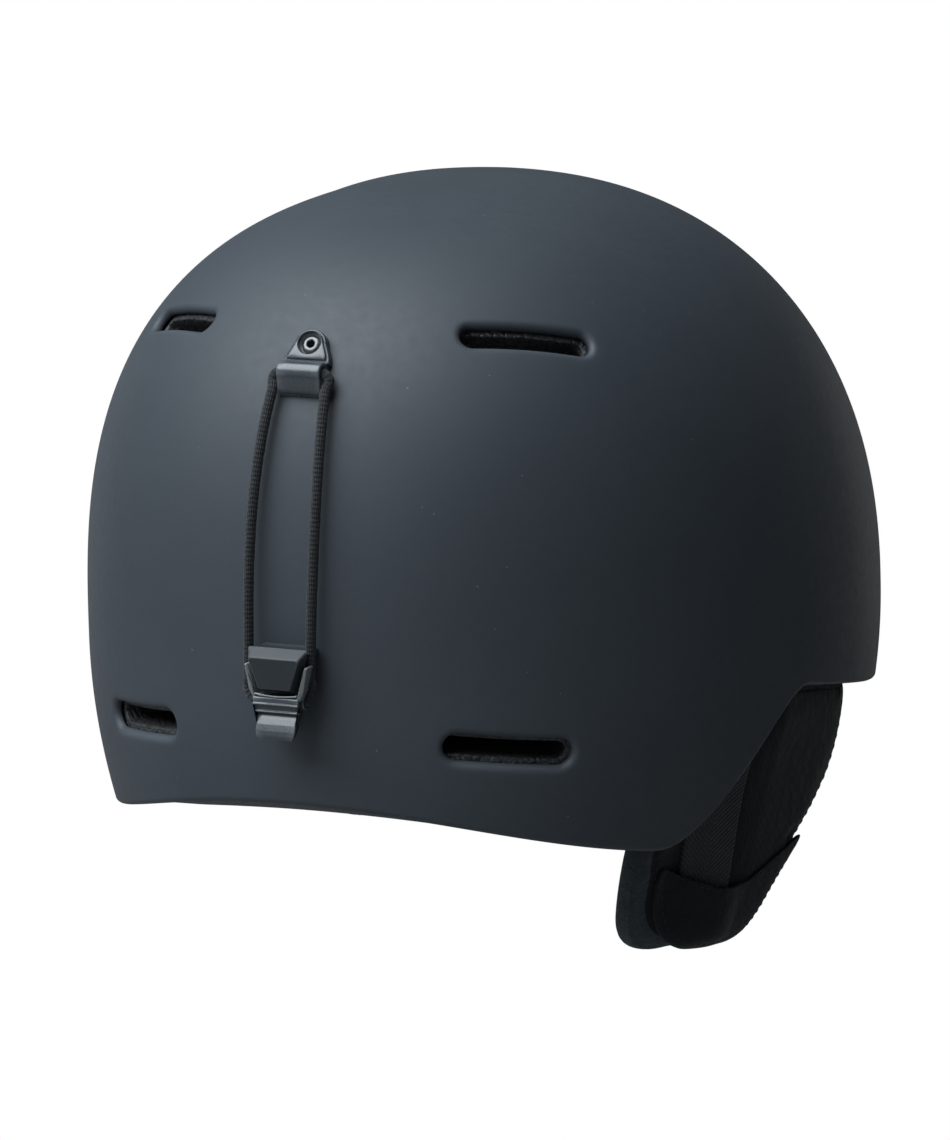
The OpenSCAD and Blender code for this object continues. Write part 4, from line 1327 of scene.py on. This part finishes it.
def at_x(outline, x):
    """Ring at x, a number or one per point, from an outline in y, z."""
    return np.stack([np.broadcast_to(x, (len(outline),)), outline[:, 0], outline[:, 1]], 1)


def inset(outline, distance):
    """Closed outline moved inwards, corner by corner."""
    p = np.asarray(outline, float)
    before, after = np.roll(p, 1, 0), np.roll(p, -1, 0)
    e1, e2 = p - before, after - p
    e1 /= np.maximum(np.linalg.norm(e1, axis=1, keepdims=True), 1e-9)
    e2 /= np.maximum(np.linalg.norm(e2, axis=1, keepdims=True), 1e-9)
    n1 = np.stack([-e1[:, 1], e1[:, 0]], 1)
    n2 = np.stack([-e2[:, 1], e2[:, 0]], 1)
    signed_area = 0.5 * np.sum(p[:, 0] * after[:, 1] - after[:, 0] * p[:, 1])
    miter = (n1 + n2) / np.maximum((1 + (n1 * n2).sum(1, keepdims=True)), 0.35)
    return p + miter * distance * (1 if signed_area > 0 else -1)


def round_corners(outline, radii, segments):
    """Outline with its corners rounded; one radius, or one per corner."""
    p = np.asarray(outline, float)
    radii = np.broadcast_to(np.asarray(radii, float), (len(p),))
    points = []
    for k, corner in enumerate(p):
        u, w = p[k - 1] - corner, p[(k + 1) % len(p)] - corner
        u_length, w_length = np.linalg.norm(u), np.linalg.norm(w)
        u, w = u / u_length, w / w_length
        angle = math.acos(max(-1, min(1, float(u @ w))))
        if radii[k] <= 0 or angle > 3.10:
            points.append(corner)
            continue
        cut = min(radii[k] / math.tan(angle / 2), 0.48 * u_length, 0.48 * w_length)
        for q in np.linspace(0, 1, segments + 1):
            points.append((corner + u * cut * (1 - q)) * (1 - q) + (corner + w * cut * q) * q)
    return np.array(points)


def at_bearings(outline, angles, centre):
    """Where rays from a centre meet an outline."""
    ring = closed(np.asarray(outline, float))
    points = []
    for a in angles:
        ray = np.array([math.cos(a), math.sin(a)])
        best = 0.0
        for start, end in zip(ring[:-1] - centre, ring[1:] - centre):
            edge = end - start
            det = ray[0] * (-edge[1]) + ray[1] * edge[0]
            if abs(det) < 1e-12:
                continue
            reach = (start[0] * (-edge[1]) + start[1] * edge[0]) / det
            share = (ray[0] * start[1] - ray[1] * start[0]) / det
            if -1e-9 <= share <= 1 + 1e-9 and reach > best:
                best = reach
        points.append(centre + ray * best)
    return np.array(points)


def bar(piece, outline, half, rounding, hole=None):
    """Bar along x from an outline in y, z.

    half: half width, a number or one per point; rounding: how far each end ring lies inside
    the end, and its inset; hole: y, z and radius of a hole along x.
    """
    stations = [(-1, *ring) for ring in rounding]
    stations += [(share, 0, 0) for share in (-0.5, 0, 0.5)]
    stations += [(1, *ring) for ring in rounding[::-1]]
    rings = [at_x(inset(outline, d), share * (half - end)) for share, end, d in stations]
    if hole:
        y, z, radius = hole
        a = np.arctan2(rings[0][:, 2] - z, rings[0][:, 1] - y)
        chamfer = 0.28
        bore, mouth = (np.stack([y + np.cos(a) * r, z + np.sin(a) * r], 1)
                       for r in (radius, radius + chamfer))
        rings += [at_x(mouth, half), at_x(bore, half - chamfer), at_x(bore, half * 0.4),
                  at_x(bore, -half * 0.4), at_x(bore, chamfer - half), at_x(mouth, -half)]
    piece.add_rings(rings, loop=bool(hole))


def turned(piece, profile, index):
    """Turned about the screw's axis from r, y; the second and third rings are hexagons."""
    a = np.arange(72) * 2 * math.pi / 72
    hexagon = 0.93 / np.cos((a + math.pi / 6) % (math.pi / 3) - math.pi / 6)
    rings = []
    for k, (radius, y) in enumerate(profile):
        r = radius * (hexagon if k in (1, 2) else np.ones(len(a)))
        rings.append(at_y(np.stack([r * np.cos(a), PLATE_Z + r * np.sin(a)], 1), y))
    piece.add_rings(rings, index)


ON_BRACKET = placed_by(rear_frame(BRACKET_Z))
ON_CATCH = placed_by(rear_frame(CATCH_Z))


def bracket():
    """Countersunk plate over a barrel for the cord."""
    piece = Piece()
    top = [(4.75 * math.cos(t), 7.5 + 4.75 * math.sin(t))
           for t in np.radians(np.linspace(8, 172, 25))]
    plate = [(7.0, 2.2), (6.5, 4.4)] + top + [(-6.5, 4.4), (-7.0, 2.2)]
    centre = np.array([0.0, PLATE_Z])
    angles = np.arange(120) * 2 * math.pi / 120
    outline = at_bearings(plate, angles, centre)
    # y, inset
    levels = [(-1.2, 0), (1.55, 0), (1.85, 0.12), (2.0, 0.36), (2.02, 0.75), (2.12, 0.86),
              (2.5, 1.0), (2.62, 1.15)]
    # y, radius
    countersink = [(2.64, 3.62), (2.60, 3.45), (2.40, 3.32), (1.0, 3.1), (0.9, 2.6)]
    rings = [at_y(centre + (outline - centre) * (1 - d / 5.4), y) for y, d in levels]
    circle = np.stack([np.cos(angles), np.sin(angles)], 1)
    rings += [at_y(centre + circle * radius, y) for y, radius in countersink]
    piece.add_rings(rings)

    radius = 2.95
    barrel = [(2.0, 3.3), (2.45, 2.75), (2.75, 2.2)]
    barrel += [(BARREL_Y + radius * math.cos(t), BARREL_Z + radius * math.sin(t))
               for t in np.radians(np.linspace(84, -38, 22))]
    barrel += [(4.75, -3.35), (4.1, -4.2), (3.3, -5.2), (2.5, -6.1), (1.9, -6.55),
               (1.2, -6.7), (-1.0, -6.7), (-1.0, 3.3)]
    barrel = round_corners(barrel, [0.2] * 3 + [0] * 22 + [0.4] * 5 + [0] * 3, 3)
    bar(piece, barrel, 6.4, [(0.0, 0.42), (0.04, 0.28), (0.16, 0.12), (0.42, 0)],
        hole=(BARREL_Y, BARREL_Z, 1.62))
    piece.finish("retainer_bracket", [SATIN], "shell", "satin_plastic", "goggle_bracket",
                 ON_BRACKET)


def bracket_screw():
    """Hexagon socket screw, with a black disc inside its socket as painted shade."""
    piece = Piece()
    turned(piece, [(0.25, -0.9), (0.98, -0.88), (1.02, 1.5), (1.14, 1.66), (1.5, 1.78),
                   (1.95, 1.70), (2.4, 1.46), (2.66, 1.18), (2.74, 0.98), (2.5, 0.93),
                   (1.6, 0.9), (1.6, -9.4)], 0)
    # black disc just inside the socket: painted shade
    turned(piece, [(0.1, 1.22), (0.95, 1.22), (0.97, 1.3), (0.1, 1.32)], 1)
    piece.finish("retainer_bracket_screw", [STEEL, SOCKET_SHADE], "shell", "steel",
                 "goggle_bracket_screw", ON_BRACKET)


def catch():
    """Tapered block on a narrower foot, widening into a head."""
    foot = round_corners([(-8.4, 5.0), (-5.2, -6.2), (5.2, -6.2), (8.4, 5.0)],
                         [1.2, 0.9, 0.9, 1.2], 5)
    back = round_corners([(-9.1, 5.7), (-5.7, -6.4), (5.7, -6.4), (9.1, 5.7)],
                         [1.0, 0.9, 0.9, 1.0], 5)
    face = round_corners([(-7.65, 3.5), (-4.6, -5.05), (4.6, -5.05), (7.65, 3.5)], 0.9, 5)
    # y, outline, inset
    levels = [(-1.5, foot, 0), (3.2, foot, 0), (7.0, foot, -0.1), (7.25, back, 0.25),
              (7.5, back, 0.03), (7.7, back, -0.02)]
    levels += [(7.8 + (10.95 - 7.8) * t, inset(back, 0.02) * (1 - t) + face * t, 0)
               for t in (0.04, 0.10, 0.5, 0.90, 0.965)]
    levels += [(10.93, face, 0.06), (11.0, face, 0.22), (11.0, face, 0.42)]
    piece = Piece()
    piece.add_rings([at_y(inset(outline, d), y) for y, outline, d in levels])
    piece.finish("retainer_catch", [SATIN_DARK], "shell", "satin_plastic", "goggle_catch",
                 ON_CATCH)


# Side view of the pull tab's grip: y, z, corner radius
TAB_SECTION = [
    (10.2, -7.5, 0.4), (10.2, -8.95, 0.12), (10.5, -9.15, 0.12), (10.62, -9.42, 0.12),
    (10.4, -9.65, 0.12), (9.95, -9.75, 0.12), (9.5, -11.1, 0.12), (9.7, -11.3, 0.12),
    (9.9, -11.5, 0.12), (9.8, -11.8, 0.12), (9.4, -11.9, 0.12), (8.95, -12.5, 0.12),
    (8.98, -12.8, 0.12), (9.5, -13.5, 0.8), (10.3, -14.9, 0.8), (11.0, -16.6, 0.8),
    (11.25, -17.7, 0.3), (11.2, -18.4, 0.3), (10.8, -18.95, 0.3), (10.2, -19.15, 0.3),
    (9.6, -18.9, 0.3), (8.8, -17.4, 0.8), (7.6, -15.4, 0.8), (6.2, -13.6, 0.8),
    (4.2, -12.6, 0.8), (3.6, -11.8, 0.5), (3.6, -8.2, 0.5), (4.0, -7.5, 0.5)]
# Its half width: distance below the catch's origin, half width
TAB_WIDTHS = [(7.4, 6.75), (8.6, 6.8), (11.2, 6.75), (12.5, 6.1), (13.6, 5.85), (16.5, 5.85),
              (18.2, 5.5), (19.2, 4.9)]


def pull_tab():
    """Stepped grip with a flared lip, and cheeks either side of the catch."""
    piece = Piece()
    section = np.array(TAB_SECTION)
    outline = round_corners(section[:, :2], section[:, 2], 3)
    bar(piece, outline, np.interp(-outline[:, 1], *zip(*TAB_WIDTHS)),
        [(0.0, 0.34), (0.03, 0.22), (0.12, 0.08), (0.34, 0)])
    for side in (-1, 1):
        cheek = [(9.3, 1.2), (8.5, 1.2), (6.15, -7.0), (5.0, -7.7), (6.75, -8.4), (8.15, -5.4)]
        cheek = round_corners([(side * x, z) for x, z in cheek],
                              [0.3, 0.2, 0.3, 0.2, 0.3, 0.8], 3)
        levels = [(3.6, 0.15), (3.75, 0.0), (9.3, 0.0), (9.55, 0.1), (9.62, 0.25)]
        # the cheeks take the lighter copy of the satin plastic as painted light
        piece.add_rings([at_y(inset(cheek, d), y) for y, d in levels], 1)
        # collar where the cord goes in
        a = np.arange(28) * 2 * math.pi / 28
        collar = np.stack([CORD_Y + 1.72 * np.cos(a), CORD_Z + 1.72 * np.sin(a)], 1)
        round_tube(piece, at_x(collar, side * 6.78), 0.26, 8, loop=True)
    # the thin lip under the catch, in the lighter copy of the satin plastic: a painted highlight
    lip = [(x, 10.15 - 0.010 * x * x, -6.75 - 0.022 * (36 - x * x) * 0.5)
           for x in np.linspace(-6.2, 6.2, 49)]
    round_tube(piece, lip, 0.26, 10, 1)
    piece.finish("retainer_tab", [SATIN, SATIN_PAINTED_LIT], "pull_tab", "satin_plastic",
                 "goggle_tab", ON_CATCH)


bracket()
bracket_screw()
catch()
pull_tab()


# ---------------------------------------------------------------- carried-over hard pieces
def dress(node, material, width):
    """Gives a CAD piece its material and bevels of a width in mm."""
    obj = NODES[node]
    obj.data.materials.clear()
    obj.data.materials.append(material)
    weld = obj.modifiers.new("weld", "WELD")
    weld.merge_threshold = 0.00001
    bevel = obj.modifiers.new("edges", "BEVEL")
    bevel.width = width * MM
    bevel.segments = 3
    bevel.limit_method = "ANGLE"
    bevel.angle_limit = math.radians(32)
    bevel.harden_normals = False
    bevel.use_clamp_overlap = True
    bevel.miter_outer = "MITER_ARC"
    polygons = obj.data.polygons
    polygons.foreach_set("use_smooth", np.ones(len(polygons), bool))
    shade = obj.modifiers.new("shade", "WEIGHTED_NORMAL")
    shade.keep_sharp = True


for node, material, width in [
        ("strap_anchors", PLASTIC, 0.4),
        ("anchor_bolts", STEEL, 0.3),
        ("pad_dots", HOOKS, 0.15),
        ("swivel_rivet_left", PLASTIC, 0.35),
        ("swivel_rivet_right", PLASTIC, 0.35),
        ("buckle_plug", PLASTIC, 0.5),
        ("buckle_socket", PLASTIC, 0.7),
        ("web_slider", PLASTIC, 0.5),
        ("web_keeper", RUBBER, 0.4),
        ("goggle_bracket_nut", STEEL, 0.2),
        ("goggle_catch_screw", STEEL, 0.2)]:
    dress(node, material, width)


# ---------------------------------------------------------------- floor, light, camera
def floor_material():
    """Grey to the light, plain white to the camera, and clear from below."""
    s = Shader("floor_pale")
    tone = s.noise(s.coordinates(), scale=0.004)
    s.finish({"Base Color": s.ramp(tone, (0.3, 0.20), (0.7, 0.23)), "Roughness": 0.9})
    white = s.add("Emission")
    s.feed(white.inputs["Color"], (1, 1, 1))
    s.feed(white.inputs["Strength"], 1.0)

    def choose(factor, first, second):
        node = s.add("MixShader")
        for socket, value in zip(node.inputs, (factor, first, second)):
            s.feed(socket, value)
        return node.outputs[0]

    above = choose(s.add("LightPath").outputs["Is Camera Ray"], s.surface.outputs[0],
                   white.outputs[0])
    both = choose(s.add("NewGeometry").outputs["Backfacing"], above,
                  s.add("BsdfTransparent").outputs[0])
    s.feed(s.output.inputs[0], both)
    return s.material


def floor():
    material = floor_material()
    mesh = bpy.data.meshes.new("floor")
    half, z = 9, CAD_BOX[0].z - 0.16
    mesh.from_pydata([(-half, -half, z), (half, -half, z), (half, half, z), (-half, half, z)],
                     [], [(0, 1, 2, 3)])
    mesh.materials.append(material)
    obj = bpy.data.objects.new("floor", mesh)
    SCENE.collection.objects.link(obj)


def studio_world():
    """Faint cool light all round, plain white to the camera."""
    world = bpy.data.worlds.new("studio")
    SCENE.world = world
    world.use_nodes = True
    tree = world.node_tree
    tree.nodes.clear()
    output = tree.nodes.new("ShaderNodeOutputWorld")
    backgrounds = []
    for colour, strength in (((0.86, 0.94, 1.0, 1), 0.075), ((1, 1, 1, 1), 1.0)):
        background = tree.nodes.new("ShaderNodeBackground")
        background.inputs["Color"].default_value = colour
        background.inputs["Strength"].default_value = strength
        backgrounds.append(background)
    path = tree.nodes.new("ShaderNodeLightPath")
    mix = tree.nodes.new("ShaderNodeMixShader")
    tree.links.new(path.outputs["Is Camera Ray"], mix.inputs[0])
    for k, background in enumerate(backgrounds, 1):
        tree.links.new(background.outputs[0], mix.inputs[k])
    tree.links.new(mix.outputs[0], output.inputs[0])


def area_light(name, position, size, power, colour=(1, 1, 1)):
    light = bpy.data.lights.new(name, "AREA")
    light.energy = power
    light.color = colour
    light.size = size
    obj = bpy.data.objects.new(name, light)
    obj.location = position
    obj.rotation_euler = (LIT_CENTRE - position).to_track_quat("-Z", "Y").to_euler()
    SCENE.collection.objects.link(obj)


# The camera looks at the rear from the wearer's right; its own axes
CAMERA_PLACE = Vector((-647.6, 1540.2, 117.5)) * MM
CAMERA_RIGHT = Vector((-0.9192, -0.3887, 0.0627))
CAMERA_UP = Vector((0.0704, -0.0057, 0.9975))
CAMERA_FORWARD = Vector((0.3874, -0.9213, -0.0326))
LIT_CENTRE = Vector((0, 0, 0.075))
COOL = (0.90, 0.96, 1.0)


def camera():
    obj = bpy.data.objects.new("camera", bpy.data.cameras.new("camera"))
    axes = Matrix((CAMERA_RIGHT, CAMERA_UP, -CAMERA_FORWARD)).transposed()
    obj.matrix_world = Matrix.Translation(CAMERA_PLACE) @ axes.to_4x4()
    obj.data.lens = 180.83
    obj.data.sensor_width = 36
    obj.data.shift_x = -0.01686
    obj.data.shift_y = 0.02676
    obj.data.clip_end = 50
    SCENE.collection.objects.link(obj)
    SCENE.camera = obj


def lights():
    """Lights placed as the camera sees the helmet: to its left, up, and back to the camera."""
    left, up, back = -CAMERA_RIGHT, Vector((0, 0, 1)), -CAMERA_FORWARD
    area_light("key", LIT_CENTRE + left * 1.3 + up * 1.85 + back * 0.95, size=2.6, power=175,
               colour=COOL)
    area_light("fill", LIT_CENTRE + back * 1.8 + up * 0.1 + left * 1.3, size=1.8, power=4.5,
               colour=COOL)
    area_light("rim_right", LIT_CENTRE - left * 1.3 + up * 0.3 - back * 1.9, size=0.9,
               power=2.2)
    area_light("rim_left", LIT_CENTRE + left * 1.2 + up * 0.1 - back * 1.9, size=0.9,
               power=1.6)


floor()
studio_world()
camera()
lights()

SCENE.view_settings.view_transform = "Standard"
SCENE.view_settings.look = "None"
SCENE.render.film_transparent = False

bpy.context.view_layer.update()
